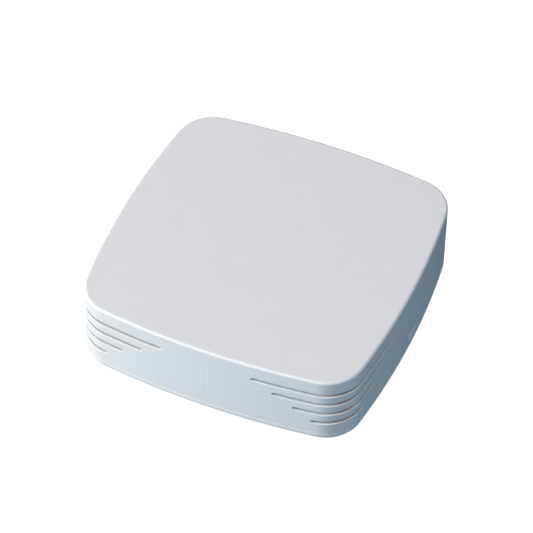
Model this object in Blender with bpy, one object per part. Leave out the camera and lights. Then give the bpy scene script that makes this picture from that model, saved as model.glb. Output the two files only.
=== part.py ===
"""Smart home hub: a square, bow-sided casing on four rubber feet, with its board inside.

The origin is on the table under the middle of the hub, +Z is up, the plain front
faces -Y, the sockets are at the back (+Y), and the pill-shaped button is on the +X side.
"""

import math

import bpy
import bmesh
from mathutils import Matrix, Vector

MM = 0.001

# Casing
HALF_WIDTH = 62.5 * MM            # from the hub's axis to the middle of each side
SIDE_BOW = 5.8 * MM              # how far a side bulges over the casing's full width
CORNER_RADIUS = 16.25 * MM
BODY_HEIGHT = 33.0 * MM           # cover and base together, without the feet
WALL = 2.0 * MM
TOP_THICKNESS = 2.2 * MM
TOP_EDGE_RADIUS = 1.0 * MM
BOTTOM_EDGE_RADIUS = 0.4 * MM
RIM_HEIGHT = 2.4 * MM             # the base's visible band, below the parting line
FLOOR_THICKNESS = 2.0 * MM
LIP_THICKNESS = 1.2 * MM          # locating lip inside the cover's wall
LIP_HEIGHT = 1.6 * MM
GAP = 0.3 * MM                    # left between pieces that touch or seat
OVERRUN = 1.0 * MM                # how far a cutter passes the face that it cuts
SEAT_OVERLAP = 0.8 * MM           # how deep an added feature starts inside its wall

# Cooling slits round the two front corners, one length from a side's middle for each row, top first
SLIT_CORNERS = (2, 3)             # quarter turns from the corner between +X and +Y
SLIT_END_FROM_MIDDLE = (19.3 * MM, 27.9 * MM, 36.6 * MM, 44.2 * MM)
SLIT_HEIGHT = 1.5 * MM
SLIT_TOP_MARGIN = 7.75 * MM       # top of the cover to the middle of the first slit
SLIT_BOTTOM_MARGIN = 9.15 * MM    # bottom of the base to the middle of the last slit

# Rubber feet
FOOT_RADIUS = 5.5 * MM
FOOT_PROUD = 1.6 * MM
FOOT_RECESS = 0.8 * MM
FOOT_INSET = 9.0 * MM             # from a cover screw, along X and along Y

# Cover screws, driven up through the base into the cover's bosses
BOSS_OFFSET = 4.3 * MM            # from the corner's centre of curvature, along X and Y
BOSS_RADIUS = 3.2 * MM
BASE_BOSS_RADIUS = 3.8 * MM
BASE_BOSS_HEIGHT = 2.4 * MM       # above the base's floor
SCREW_HEAD_RADIUS = 2.3 * MM
SCREW_HEAD_HEIGHT = 1.6 * MM
SCREW_SHANK_RADIUS = 1.0 * MM
COVER_SCREW_LENGTH = 10.0 * MM
COUNTERBORE_DEPTH = 2.3 * MM

# Circuit board
BOARD_MARGIN = 4.0 * MM           # from the inside of the wall to the board's edge
BOARD_THICKNESS = 1.6 * MM
STANDOFF_HEIGHT = 5.0 * MM
STANDOFF_RADIUS = 3.0 * MM
STANDOFF_INSET_X = 8.0 * MM       # from a cover screw
STANDOFF_INSET_Y = 15.0 * MM
BOARD_SCREW_LENGTH = 5.0 * MM
BOARD_HEAD_RADIUS = 2.2 * MM
BOARD_HEAD_HEIGHT = 1.5 * MM

# Sockets at the back
PORT_SETBACK = 0.4 * MM           # socket faces behind the wall's outer surface
ETHERNET_X = -17.0 * MM
ETHERNET_SIZE = (16.0 * MM, 21.3 * MM, 13.5 * MM)
ETHERNET_SHELL_WALL = 0.5 * MM
PLUG_CAVITY = (11.8 * MM, 12.5 * MM, 7.6 * MM)
PLUG_CAVITY_BASE = 3.0 * MM       # from the insert's underside to the cavity's floor
LATCH_NOTCH = (6.0 * MM, 12.5 * MM, 1.8 * MM)
CONTACT_COUNT = 8
CONTACT_PITCH = 1.02 * MM
CONTACT_WIDTH = 0.46 * MM
JACK_LAMP = (2.4 * MM, 2.6 * MM, 1.4 * MM)
JACK_LAMP_X = 5.2 * MM            # from the jack's middle
USB_X = 2.0 * MM
USB_SIZE = (13.2 * MM, 14.0 * MM, 5.8 * MM)
USB_SHELL_WALL = 0.4 * MM
USB_TONGUE = (11.0 * MM, 8.8 * MM, 1.8 * MM)
USB_TONGUE_RISE = 2.3 * MM        # tongue's underside above the shell's inner floor
POWER_X = 19.0 * MM
POWER_SIZE = (9.0 * MM, 14.0 * MM, 11.0 * MM)
POWER_BORE_RADIUS = 3.2 * MM
POWER_BORE_DEPTH = 11.0 * MM
POWER_BORE_RISE = 6.2 * MM        # bore's axis above the jack's underside
POWER_PIN_RADIUS = 1.0 * MM
POWER_PIN_SETBACK = 0.9 * MM

# Side button and its switch
BUTTON_Y = 2.4 * MM
BUTTON_RISE = 5.8 * MM            # button's axis above the bottom of the base
BUTTON_LENGTH = 9.0 * MM          # length and height of the opening in the wall
BUTTON_HEIGHT = 2.6 * MM
BUTTON_PROUD = 0.4 * MM
BUTTON_FLANGE = 0.8 * MM          # how far its flange reaches behind the wall, each way
BUTTON_FLANGE_THICKNESS = 1.0 * MM
BUTTON_STEM = (3.6 * MM, 1.6 * MM)
BUTTON_TRAVEL = 0.5 * MM
GUIDE_THICKNESS = 1.0 * MM
GUIDE_DEPTH = 1.2 * MM
SWITCH_SIZE = (4.0 * MM, 6.0 * MM, 3.0 * MM)
SWITCH_SETBACK = 0.5 * MM         # behind the board's edge
PLUNGER = (1.8 * MM, 2.0 * MM, 1.2 * MM)
PLUNGER_PROUD = 1.1 * MM

# Underside
PLATE_SIZE = (42.0 * MM, 24.0 * MM)   # fits between the left and right feet
PLATE_THICKNESS = 0.4 * MM
PLATE_RECESS = 0.8 * MM
PLATE_Y = 20.0 * MM
VENT_COUNT = 9
VENT_PITCH = 5.0 * MM
VENT_SIZE = (2.0 * MM, 20.0 * MM)
VENT_Y = -20.0 * MM

# Parts on the board: (name, x, y, width, depth, height, material)
CHIPS = (
    ("memory_chip", 22.0 * MM, 4.0 * MM, 9.0 * MM, 13.0 * MM, 1.0 * MM, "chip"),
    ("flash_chip", 22.0 * MM, -12.0 * MM, 8.0 * MM, 6.0 * MM, 1.2 * MM, "chip"),
    ("clock_crystal", -21.0 * MM, 8.0 * MM, 5.0 * MM, 3.2 * MM, 1.1 * MM, "can"),
)
# Radios, each with a screening can over its chip: (name, x, y, width, depth)
RADIOS = (
    ("wifi", -30.0 * MM, -8.0 * MM, 16.0 * MM, 14.0 * MM),
    ("zigbee", 20.0 * MM, -31.0 * MM, 14.0 * MM, 12.0 * MM),
    ("zwave", -20.0 * MM, -31.0 * MM, 14.0 * MM, 12.0 * MM),
)
CAN_HEIGHT = 2.6 * MM
CAN_WALL = 0.4 * MM
RADIO_CHIP_SIZE = (6.0 * MM, 6.0 * MM, 0.9 * MM)
# Stamped antennas: (name, angle of its board edge, place along the edge)
ANTENNAS = (
    ("wifi_antenna", 180.0, 12.0 * MM),
    ("zigbee_antenna", 0.0, -22.0 * MM),
    ("zwave_antenna", 270.0, -20.0 * MM),
)
ANTENNA_SIZE = (18.0 * MM, 0.5 * MM, 6.0 * MM)
ANTENNA_STRIP = 1.6 * MM
ANTENNA_INSET = 3.0 * MM          # from the board's edge
PROCESSOR_SIZE = (15.0 * MM, 15.0 * MM, 1.4 * MM)
PAD_THICKNESS = 0.8 * MM
HEATSINK_SIZE = (28.0 * MM, 28.0 * MM, 9.0 * MM)
HEATSINK_BASE = 2.0 * MM
FIN_COUNT = 7
FIN_THICKNESS = 1.4 * MM
# Power parts, placed from the face of the sockets: (name, x, back from the face, radius, height)
CAPACITORS = (
    ("input_capacitor", 19.0 * MM, 22.0 * MM, 4.0 * MM, 10.0 * MM),
    ("output_capacitor", 29.0 * MM, 20.0 * MM, 3.15 * MM, 8.0 * MM),
)
INDUCTOR = (17.0 * MM, 32.0 * MM, 7.0 * MM, 4.0 * MM)     # x, back, side, height
TRANSFORMER = (12.6 * MM, 9.5 * MM, 6.0 * MM)
TRANSFORMER_BEHIND_JACK = 8.0 * MM
LED_FROM_WALL = 14.5 * MM
LED_SIZE = (3.2 * MM, 2.8 * MM, 1.4 * MM)
PIPE_RADIUS = 1.6 * MM
PIPE_FLANGE_RADIUS = 3.0 * MM
PIPE_FLANGE = 1.0 * MM
WINDOW_DEPTH = 1.4 * MM           # pocket under the cover that thins it over the light pipe

# Facets
SIDE_STEPS = 3                    # in half of a side
CORNER_STEPS = 10
ROUND_STEPS = 20
SMALL_ROUND_STEPS = 12

# Heights and places that follow from the sizes above
BASE_BOTTOM = FOOT_PROUD
TOP = BASE_BOTTOM + BODY_HEIGHT
PARTING = BASE_BOTTOM + RIM_HEIGHT
FLOOR = BASE_BOTTOM + FLOOR_THICKNESS
BOARD_UNDER = FLOOR + STANDOFF_HEIGHT + GAP
BOARD_TOP = BOARD_UNDER + BOARD_THICKNESS
PART_BASE = BOARD_TOP + GAP       # underside of what is soldered on the board
BUTTON_Z = BASE_BOTTOM + BUTTON_RISE
BOARD_INSET = WALL + BOARD_MARGIN

SIDE_RADIUS = (HALF_WIDTH ** 2 + SIDE_BOW ** 2) / (2 * SIDE_BOW)
SIDE_CENTRE = SIDE_RADIUS - HALF_WIDTH
CORNER_CENTRE = (math.sqrt(2 * (SIDE_RADIUS - CORNER_RADIUS) ** 2 - SIDE_CENTRE ** 2) - SIDE_CENTRE) / 2
JOIN_ANGLE = math.atan2(CORNER_CENTRE, CORNER_CENTRE + SIDE_CENTRE)
SIDE_ARC = SIDE_RADIUS * JOIN_ANGLE                       # middle of a side to its corner
CORNER_ARC = CORNER_RADIUS * (math.pi / 2 - 2 * JOIN_ANGLE)
QUARTER = 2 * SIDE_ARC + CORNER_ARC                       # middle of one side to the next
BOSS_PLACE = CORNER_CENTRE + BOSS_OFFSET

COLOURS = {                       # colour, roughness, metallic
    "casing": ((0.80, 0.83, 0.86), 0.42, 0.0),
    "rubber": ((0.10, 0.10, 0.11), 0.85, 0.0),
    "steel": ((0.62, 0.62, 0.63), 0.35, 1.0),
    "board": ((0.02, 0.13, 0.07), 0.45, 0.0),
    "can": ((0.70, 0.71, 0.72), 0.30, 1.0),
    "black_plastic": ((0.03, 0.03, 0.035), 0.5, 0.0),
    "contact": ((0.83, 0.62, 0.25), 0.25, 1.0),
    "lamp_green": ((0.25, 0.75, 0.30), 0.2, 0.0),
    "lamp_amber": ((0.90, 0.55, 0.12), 0.2, 0.0),
    "chip": ((0.025, 0.025, 0.028), 0.4, 0.0),
    "pad": ((0.45, 0.50, 0.58), 0.8, 0.0),
    "heatsink": ((0.55, 0.56, 0.58), 0.4, 1.0),
    "sleeve": ((0.05, 0.06, 0.10), 0.35, 0.0),
    "ferrite": ((0.10, 0.10, 0.10), 0.7, 0.0),
    "clear": ((0.85, 0.87, 0.88), 0.1, 0.0),
    "plate": ((0.72, 0.75, 0.77), 0.5, 0.0),
}


# Scene and object helpers

def clear_scene():
    for obj in list(bpy.data.objects):
        bpy.data.objects.remove(obj, do_unlink=True)


def get_material(name):
    material = bpy.data.materials.get(name)
    if material:
        return material
    colour, roughness, metallic = COLOURS[name]
    material = bpy.data.materials.new(name)
    material.use_nodes = True
    material.diffuse_color = (*colour, 1.0)
    shader = material.node_tree.nodes["Principled BSDF"]
    shader.inputs["Base Color"].default_value = (*colour, 1.0)
    shader.inputs["Roughness"].default_value = roughness
    shader.inputs["Metallic"].default_value = metallic
    return material


def add_object(name, mesh, material_name, place=(0.0, 0.0, 0.0), turn=0.0):
    obj = bpy.data.objects.new(name, mesh)
    bpy.context.scene.collection.objects.link(obj)
    obj.location = place
    obj.rotation_euler = (0.0, 0.0, turn)
    if not mesh.materials:
        mesh.materials.append(get_material(material_name))
    return obj


def new_mesh(name, bm):
    bmesh.ops.recalc_face_normals(bm, faces=bm.faces)
    mesh = bpy.data.meshes.new(name)
    bm.to_mesh(mesh)
    bm.free()
    mesh.shade_smooth()
    mesh.set_sharp_from_angle(angle=math.radians(30))
    return mesh


def add_operands(name, meshes):
    """Puts meshes in a collection of hidden guides, for one Boolean modifier."""
    group = bpy.data.collections.new(name)
    bpy.context.scene.collection.children.link(group)
    for number, mesh in enumerate(meshes):
        guide = bpy.data.objects.new(f"{name}_{number}", mesh)
        guide.hide_render = True
        guide.display_type = "WIRE"
        group.objects.link(guide)
    return group


def combine(obj, operation, name, meshes):
    modifier = obj.modifiers.new(name, "BOOLEAN")
    modifier.operation = operation
    modifier.operand_type = "COLLECTION"
    modifier.solver = "EXACT"
    modifier.collection = add_operands(name, meshes)


# Outlines and solids

def loft(name, rings):
    """Joins rings of points, one to the next, and closes the first and the last."""
    bm = bmesh.new()
    loops = [[bm.verts.new(point) for point in ring] for ring in rings]
    for lower, upper in zip(loops, loops[1:]):
        for i in range(len(lower)):
            j = (i + 1) % len(lower)
            bm.faces.new((lower[i], lower[j], upper[j], upper[i]))
    bm.faces.new(loops[0])
    bm.faces.new(loops[-1])
    return new_mesh(name, bm)


def at_height(points, z):
    return [Vector((x, y, z)) for x, y in points]


def circle(radius, steps=ROUND_STEPS, centre=(0.0, 0.0)):
    turns = [2 * math.pi * i / steps for i in range(steps)]
    return [(centre[0] + radius * math.cos(a), centre[1] + radius * math.sin(a)) for a in turns]


def pill(length, height, steps=6):
    """A slot outline along the first axis, with half-round ends."""
    radius = height / 2
    straight = length / 2 - radius
    points = []
    for side in (1, -1):
        for i in range(steps + 1):
            angle = math.pi * (i / steps - 0.5)
            points.append((side * (straight + radius * math.cos(angle)), side * radius * math.sin(angle)))
    return points


def rectangle(width, depth, centre=(0.0, 0.0)):
    x, y = width / 2, depth / 2
    return [(centre[0] + a, centre[1] + b) for a, b in ((-x, -y), (x, -y), (x, y), (-x, y))]


def turned(name, profile, steps=ROUND_STEPS, centre=(0.0, 0.0)):
    """A round solid about a vertical line, from (radius, height) pairs."""
    return loft(name, [at_height(circle(r, steps, centre), z) for r, z in profile])


def box(name, size, centre=(0.0, 0.0), base=0.0):
    outline = rectangle(size[0], size[1], centre)
    return loft(name, [at_height(outline, base), at_height(outline, base + size[2])])


def extruded(name, profile, width, along="x"):
    """A flat profile of (across, height) pairs, given a width centred on the origin."""
    half = width / 2
    if along == "x":
        rings = [[Vector((side, y, z)) for y, z in profile] for side in (-half, half)]
    else:
        rings = [[Vector((x, side, z)) for x, z in profile] for side in (-half, half)]
    return loft(name, rings)


def wall_point(travel, inset):
    """A point on the casing's outline, by how far it is from the middle of the +X side.

    The outline is measured on the outer surface, towards +Y, over one quarter of it.
    """
    if travel <= SIDE_ARC:
        angle = travel / SIDE_RADIUS
        radius = SIDE_RADIUS - inset
        return radius * math.cos(angle) - SIDE_CENTRE, radius * math.sin(angle)
    if travel <= SIDE_ARC + CORNER_ARC:
        angle = JOIN_ANGLE + (travel - SIDE_ARC) / CORNER_RADIUS
        radius = CORNER_RADIUS - inset
        return CORNER_CENTRE + radius * math.cos(angle), CORNER_CENTRE + radius * math.sin(angle)
    y, x = wall_point(QUARTER - travel, inset)
    return x, y


def quarter_turn(point, turns):
    x, y = point
    for _ in range(turns):
        x, y = -y, x
    return x, y


def casing_outline(inset):
    side = [SIDE_ARC * i / SIDE_STEPS for i in range(SIDE_STEPS)]
    corner = [SIDE_ARC + CORNER_ARC * i / CORNER_STEPS for i in range(CORNER_STEPS + 1)]
    far_side = [QUARTER - SIDE_ARC * i / SIDE_STEPS for i in range(SIDE_STEPS - 1, 0, -1)]
    stops = side + corner + far_side
    return [quarter_turn(wall_point(stop, inset), turns) for turns in range(4) for stop in stops]


def side_surface(across, inset=0.0):
    """Distance from the hub's axis to a side's surface, away from the side's middle."""
    return math.sqrt((SIDE_RADIUS - inset) ** 2 - across ** 2) - SIDE_CENTRE


PORT_FACE = side_surface(abs(ETHERNET_X) + ETHERNET_SIZE[0] / 2) - PORT_SETBACK
CORNERS = ((1, 1), (-1, 1), (-1, -1), (1, -1))


# Casing

def slit_cutter(corner, row):
    """A ribbon that follows the wall round one corner, with rounded ends."""
    spacing = (BODY_HEIGHT - SLIT_TOP_MARGIN - SLIT_BOTTOM_MARGIN) / (len(SLIT_END_FROM_MIDDLE) - 1)
    middle = TOP - SLIT_TOP_MARGIN - row * spacing
    start = SLIT_END_FROM_MIDDLE[row]
    half = SLIT_HEIGHT / 2
    length = QUARTER - 2 * start
    ends = [0.0, half * 0.4, half]
    inner_steps = 14
    stops = ends[:-1] + [half + (length - 2 * half) * i / inner_steps for i in range(inner_steps + 1)]
    stops += [length - end for end in reversed(ends[:-1])]
    rings = []
    for stop in stops:
        from_end = min(stop, length - stop, half)
        rise = half * max(0.35, math.sqrt(1 - (1 - from_end / half) ** 2))
        outer = quarter_turn(wall_point(start + stop, -OVERRUN), corner)
        inner = quarter_turn(wall_point(start + stop, WALL + OVERRUN), corner)
        rings.append([Vector((*outer, middle - rise)), Vector((*inner, middle - rise)),
                      Vector((*inner, middle + rise)), Vector((*outer, middle + rise))])
    return loft(f"slit_{corner}_{row}", rings)


def port_cutters():
    """Openings in the back wall, each its socket's size with the seating gap round it."""
    depth = WALL + PORT_SETBACK + 4 * OVERRUN
    middle = side_surface(0.0) - depth / 2 + OVERRUN
    cutters = []
    for x, size in ((ETHERNET_X, ETHERNET_SIZE), (USB_X, USB_SIZE), (POWER_X, POWER_SIZE)):
        opening = (size[0] + 2 * GAP, depth, size[2] + 2 * GAP)
        cutters.append(box("port_opening", opening, (x, middle), PART_BASE - GAP))
    return cutters


def button_cutter():
    outline = pill(BUTTON_LENGTH, BUTTON_HEIGHT)
    stations = (side_surface(BUTTON_Y) - WALL - OVERRUN, side_surface(BUTTON_Y) + OVERRUN)
    rings = [[Vector((x, BUTTON_Y + y, BUTTON_Z + z)) for y, z in outline] for x in stations]
    return loft("button_opening", rings)


def make_top_cover():
    seat = PARTING + GAP
    edge = TOP_EDGE_RADIUS
    levels = [(WALL, TOP - TOP_THICKNESS), (WALL, seat), (0.0, seat), (0.0, TOP - edge)]
    levels += [(edge * (1 - math.cos(a)), TOP - edge * (1 - math.sin(a)))
               for a in (math.radians(30), math.radians(60), math.radians(90))]
    mesh = loft("top_cover", [at_height(casing_outline(inset), z) for inset, z in levels])
    cover = add_object("top_cover", mesh, "casing")

    boss_foot = FLOOR + BASE_BOSS_HEIGHT + GAP
    bosses = [turned("boss", [(BOSS_RADIUS, boss_foot), (BOSS_RADIUS, TOP - TOP_THICKNESS + SEAT_OVERLAP)],
                     SMALL_ROUND_STEPS, (sx * BOSS_PLACE, sy * BOSS_PLACE)) for sx, sy in CORNERS]
    combine(cover, "UNION", "cover_bosses", bosses)

    hole_radius = SCREW_SHANK_RADIUS + GAP
    hole_top = BASE_BOTTOM + COUNTERBORE_DEPTH + COVER_SCREW_LENGTH
    cutters = [turned("pilot", [(hole_radius, boss_foot - OVERRUN), (hole_radius, hole_top)],
                      SMALL_ROUND_STEPS, (sx * BOSS_PLACE, sy * BOSS_PLACE)) for sx, sy in CORNERS]
    cutters += [slit_cutter(corner, row) for corner in SLIT_CORNERS for row in range(len(SLIT_END_FROM_MIDDLE))]
    cutters += port_cutters()
    cutters.append(button_cutter())
    pocket = PIPE_FLANGE_RADIUS + GAP
    ceiling = TOP - TOP_THICKNESS
    cutters.append(turned("window", [(pocket, ceiling - OVERRUN), (pocket, ceiling + WINDOW_DEPTH)],
                          centre=(0.0, -led_distance())))
    combine(cover, "DIFFERENCE", "cover_cuts", cutters)


def base_additions():
    bosses = [turned("base_boss", [(BASE_BOSS_RADIUS, FLOOR - SEAT_OVERLAP),
                                   (BASE_BOSS_RADIUS, FLOOR + BASE_BOSS_HEIGHT)],
                     SMALL_ROUND_STEPS, (sx * BOSS_PLACE, sy * BOSS_PLACE)) for sx, sy in CORNERS]
    standoffs = [turned("standoff", [(STANDOFF_RADIUS, FLOOR - SEAT_OVERLAP),
                                     (STANDOFF_RADIUS, FLOOR + STANDOFF_HEIGHT)],
                        SMALL_ROUND_STEPS, (sx * standoff_x(), sy * standoff_y())) for sx, sy in CORNERS]
    reach = BUTTON_STEM[0] / 2 + GAP + GUIDE_THICKNESS / 2
    guide_x = button_flange_back() - 2 * GAP - GUIDE_DEPTH / 2
    guide_height = BUTTON_Z + BUTTON_STEM[1] / 2 - FLOOR + SEAT_OVERLAP
    guides = [box("button_guide", (GUIDE_DEPTH, GUIDE_THICKNESS, guide_height),
                  (guide_x, BUTTON_Y + side * reach), FLOOR - SEAT_OVERLAP) for side in (-1, 1)]
    return bosses + standoffs + guides


def base_cuts():
    foot_hole = FOOT_RADIUS + GAP
    head_hole = SCREW_HEAD_RADIUS + GAP
    shank_hole = SCREW_SHANK_RADIUS + GAP
    below = BASE_BOTTOM - OVERRUN
    cutters = []
    for sx, sy in CORNERS:
        foot = (sx * (BOSS_PLACE - FOOT_INSET), sy * (BOSS_PLACE - FOOT_INSET))
        screw = (sx * BOSS_PLACE, sy * BOSS_PLACE)
        standoff = (sx * standoff_x(), sy * standoff_y())
        cutters.append(turned("foot_recess", [(foot_hole, below), (foot_hole, BASE_BOTTOM + FOOT_RECESS)],
                              centre=foot))
        cutters.append(turned("head_well", [(head_hole, below), (head_hole, BASE_BOTTOM + COUNTERBORE_DEPTH)],
                              SMALL_ROUND_STEPS, screw))
        cutters.append(turned("screw_way", [(shank_hole, below),
                                            (shank_hole, FLOOR + BASE_BOSS_HEIGHT + OVERRUN)],
                              SMALL_ROUND_STEPS, screw))
        cutters.append(turned("standoff_bore", [(shank_hole, standoff_bore_foot()),
                                                (shank_hole, FLOOR + STANDOFF_HEIGHT + OVERRUN)],
                              SMALL_ROUND_STEPS, standoff))
    recess = (PLATE_SIZE[0] + 2 * GAP, PLATE_SIZE[1] + 2 * GAP, PLATE_RECESS + OVERRUN)
    cutters.append(box("plate_recess", recess, (0.0, PLATE_Y), below))
    vent = [at_height([(y, x) for x, y in pill(VENT_SIZE[1], VENT_SIZE[0], 4)], z)
            for z in (below, FLOOR + OVERRUN)]
    for i in range(VENT_COUNT):
        shift = Vector(((i - (VENT_COUNT - 1) / 2) * VENT_PITCH, VENT_Y, 0.0))
        cutters.append(loft("vent", [[point + shift for point in ring] for ring in vent]))
    flange_length = BUTTON_LENGTH + 2 * BUTTON_FLANGE + 2 * GAP
    notch = (LIP_THICKNESS + 2 * OVERRUN, flange_length, LIP_HEIGHT + OVERRUN)
    cutters.append(box("lip_notch", notch, (button_flange_back() - GAP + notch[0] / 2, BUTTON_Y),
                       PARTING + GAP / 2))
    for x, size in ((ETHERNET_X, ETHERNET_SIZE), (USB_X, USB_SIZE), (POWER_X, POWER_SIZE)):
        lip_top = PARTING + LIP_HEIGHT
        if PART_BASE - GAP < lip_top:
            clear = (size[0] + 2 * GAP, 2 * LIP_THICKNESS + 2 * OVERRUN, LIP_HEIGHT + OVERRUN)
            cutters.append(box("socket_notch", clear, (x, side_surface(x, WALL + LIP_THICKNESS)),
                               PARTING + GAP / 2))
    return cutters


def make_base_plate():
    edge = BOTTOM_EDGE_RADIUS
    lip_outer = WALL + GAP
    lip_inner = lip_outer + LIP_THICKNESS
    levels = [(edge * (1 - math.cos(a)), BASE_BOTTOM + edge * (1 - math.sin(a)))
              for a in (math.radians(90), math.radians(45), 0.0)]
    levels += [(0.0, PARTING), (lip_outer, PARTING), (lip_outer, PARTING + LIP_HEIGHT),
               (lip_inner, PARTING + LIP_HEIGHT), (lip_inner, FLOOR)]
    mesh = loft("base_plate", [at_height(casing_outline(inset), z) for inset, z in levels])
    base = add_object("base_plate", mesh, "casing")
    combine(base, "UNION", "base_additions", base_additions())
    combine(base, "DIFFERENCE", "base_cuts", base_cuts())


def make_feet():
    edge = 0.4 * MM
    height = FOOT_PROUD + FOOT_RECESS - GAP
    profile = [(FOOT_RADIUS - edge, 0.0), (FOOT_RADIUS, edge), (FOOT_RADIUS, height)]
    mesh = turned("rubber_foot", profile)
    for number, (sx, sy) in enumerate(CORNERS, 1):
        place = BOSS_PLACE - FOOT_INSET
        add_object(f"rubber_foot_{number}", mesh, "rubber", (sx * place, sy * place, 0.0))


def make_rating_plate():
    top = BASE_BOTTOM + PLATE_RECESS - GAP
    mesh = box("rating_plate", (*PLATE_SIZE, PLATE_THICKNESS))
    add_object("rating_plate", mesh, "plate", (0.0, PLATE_Y, top - PLATE_THICKNESS))


# Fasteners

def screw_mesh(name, head_radius, head_height, length):
    """A pan-head screw, tip down, with the underside of its head at zero."""
    shank = SCREW_SHANK_RADIUS
    profile = [(shank * 0.35, -length), (shank, -length + 1.5 * shank), (shank, 0.0), (head_radius, 0.0),
               (head_radius, head_height * 0.5), (head_radius * 0.62, head_height)]
    return turned(name, profile, SMALL_ROUND_STEPS)


def make_screws():
    cover_mesh = screw_mesh("cover_screw", SCREW_HEAD_RADIUS, SCREW_HEAD_HEIGHT, COVER_SCREW_LENGTH - GAP)
    board_mesh = screw_mesh("board_screw", BOARD_HEAD_RADIUS, BOARD_HEAD_HEIGHT, BOARD_SCREW_LENGTH)
    seat = BASE_BOTTOM + COUNTERBORE_DEPTH - GAP
    for number, (sx, sy) in enumerate(CORNERS, 1):
        screw = add_object(f"cover_screw_{number}", cover_mesh, "steel",
                           (sx * BOSS_PLACE, sy * BOSS_PLACE, seat))
        screw.rotation_euler = (math.pi, 0.0, 0.0)
        add_object(f"board_screw_{number}", board_mesh, "steel",
                   (sx * standoff_x(), sy * standoff_y(), BOARD_TOP + GAP))


def standoff_x():
    return BOSS_PLACE - STANDOFF_INSET_X


def standoff_y():
    return BOSS_PLACE - STANDOFF_INSET_Y


def standoff_bore_foot():
    """Bottom of a standoff's bore, a gap below the board screw's tip."""
    return BOARD_TOP + GAP - BOARD_SCREW_LENGTH - GAP


def led_distance():
    return HALF_WIDTH - WALL - LED_FROM_WALL


# Board and what is soldered on it

def make_main_board():
    outline = casing_outline(BOARD_INSET)
    mesh = loft("main_board", [at_height(outline, BOARD_UNDER), at_height(outline, BOARD_TOP)])
    board = add_object("main_board", mesh, "board")
    low, high = BOARD_UNDER - OVERRUN, BOARD_TOP + OVERRUN
    hole = SCREW_SHANK_RADIUS + GAP
    notch_radius = BOSS_RADIUS + 2 * GAP
    notch_reach = 4 * CORNER_RADIUS
    cutters = []
    for turns, (sx, sy) in enumerate(CORNERS):
        cutters.append(turned("screw_hole", [(hole, low), (hole, high)], SMALL_ROUND_STEPS,
                              (sx * standoff_x(), sy * standoff_y())))
        slot = pill(notch_reach, 2 * notch_radius)
        spin = Matrix.Rotation(math.radians(45 + 90 * turns), 3, "Z")
        shift = notch_reach / 2 - notch_radius + BOSS_PLACE * math.sqrt(2)
        rings = [[spin @ Vector((x + shift, y, z)) for x, y in slot] for z in (low, high)]
        cutters.append(loft("boss_notch", rings))
    combine(board, "DIFFERENCE", "board_cuts", cutters)


def make_chips():
    for name, x, y, width, depth, height, material in CHIPS:
        add_object(name, box(name, (width, depth, height)), material, (x, y, PART_BASE))
    processor_top = PART_BASE + PROCESSOR_SIZE[2]
    pad_base = processor_top + GAP
    pad_size = (PROCESSOR_SIZE[0], PROCESSOR_SIZE[1], PAD_THICKNESS)
    add_object("processor", box("processor", PROCESSOR_SIZE), "chip", (0.0, 0.0, PART_BASE))
    add_object("thermal_pad", box("thermal_pad", pad_size), "pad", (0.0, 0.0, pad_base))
    make_heatsink(pad_base + PAD_THICKNESS + GAP)


def make_heatsink(base):
    """A plate with upright fins, drawn as one comb-shaped profile."""
    width, depth, height = HEATSINK_SIZE
    pitch = (width - FIN_THICKNESS) / (FIN_COUNT - 1)
    profile = [(width / 2, 0.0), (-width / 2, 0.0)]
    for i in range(FIN_COUNT):
        left = -width / 2 + i * pitch
        right = left + FIN_THICKNESS
        if i:
            profile.append((left, HEATSINK_BASE))
        profile += [(left, height), (right, height)]
        if i < FIN_COUNT - 1:
            profile.append((right, HEATSINK_BASE))
    add_object("heatsink", extruded("heatsink", profile, depth, "y"), "heatsink", (0.0, 0.0, base))


def make_radios():
    chip_mesh = box("radio_chip", RADIO_CHIP_SIZE)
    for name, x, y, width, depth in RADIOS:
        inner = (width - 2 * CAN_WALL, depth - 2 * CAN_WALL)
        ceiling = CAN_HEIGHT - CAN_WALL
        rings = [at_height(rectangle(*inner), ceiling), at_height(rectangle(*inner), 0.0),
                 at_height(rectangle(width, depth), 0.0), at_height(rectangle(width, depth), CAN_HEIGHT)]
        add_object(f"{name}_shield", loft(f"{name}_shield", rings), "can", (x, y, PART_BASE))
        add_object(f"{name}_radio", chip_mesh, "chip", (x, y, PART_BASE))


def make_antennas():
    """Inverted-F antennas: a strip on two legs, standing beside the board's edge."""
    length, thickness, height = ANTENNA_SIZE
    half, leg = length / 2, ANTENNA_STRIP
    profile = [(-half, 0.0), (-half + leg, 0.0), (-half + leg, height - leg),
               (-half + 3 * leg, height - leg),
               (-half + 3 * leg, 0.0), (-half + 4 * leg, 0.0), (-half + 4 * leg, height - leg),
               (half, height - leg), (half, height), (-half, height)]
    mesh = extruded("antenna", [(x, z) for x, z in profile], thickness, "y")
    distance = HALF_WIDTH - BOARD_INSET - ANTENNA_INSET
    for name, angle, along in ANTENNAS:
        turn = math.radians(angle)
        place = Matrix.Rotation(turn, 3, "Z") @ Vector((distance, along, PART_BASE))
        add_object(name, mesh, "can", place, turn + math.pi / 2)


def make_power_parts():
    for name, x, back, radius, height in CAPACITORS:
        edge = 0.5 * MM
        profile = [(radius - edge, 0.0), (radius, edge), (radius, height - edge), (radius - edge, height)]
        add_object(name, turned(name, profile, 16), "sleeve", (x, PORT_FACE - back, PART_BASE))
    x, back, side, height = INDUCTOR
    add_object("power_inductor", box("power_inductor", (side, side, height)), "ferrite",
               (x, PORT_FACE - back, PART_BASE))
    behind = PORT_FACE - ETHERNET_SIZE[1] - TRANSFORMER_BEHIND_JACK
    add_object("ethernet_transformer", box("ethernet_transformer", TRANSFORMER), "chip",
               (ETHERNET_X, behind, PART_BASE))


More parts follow.
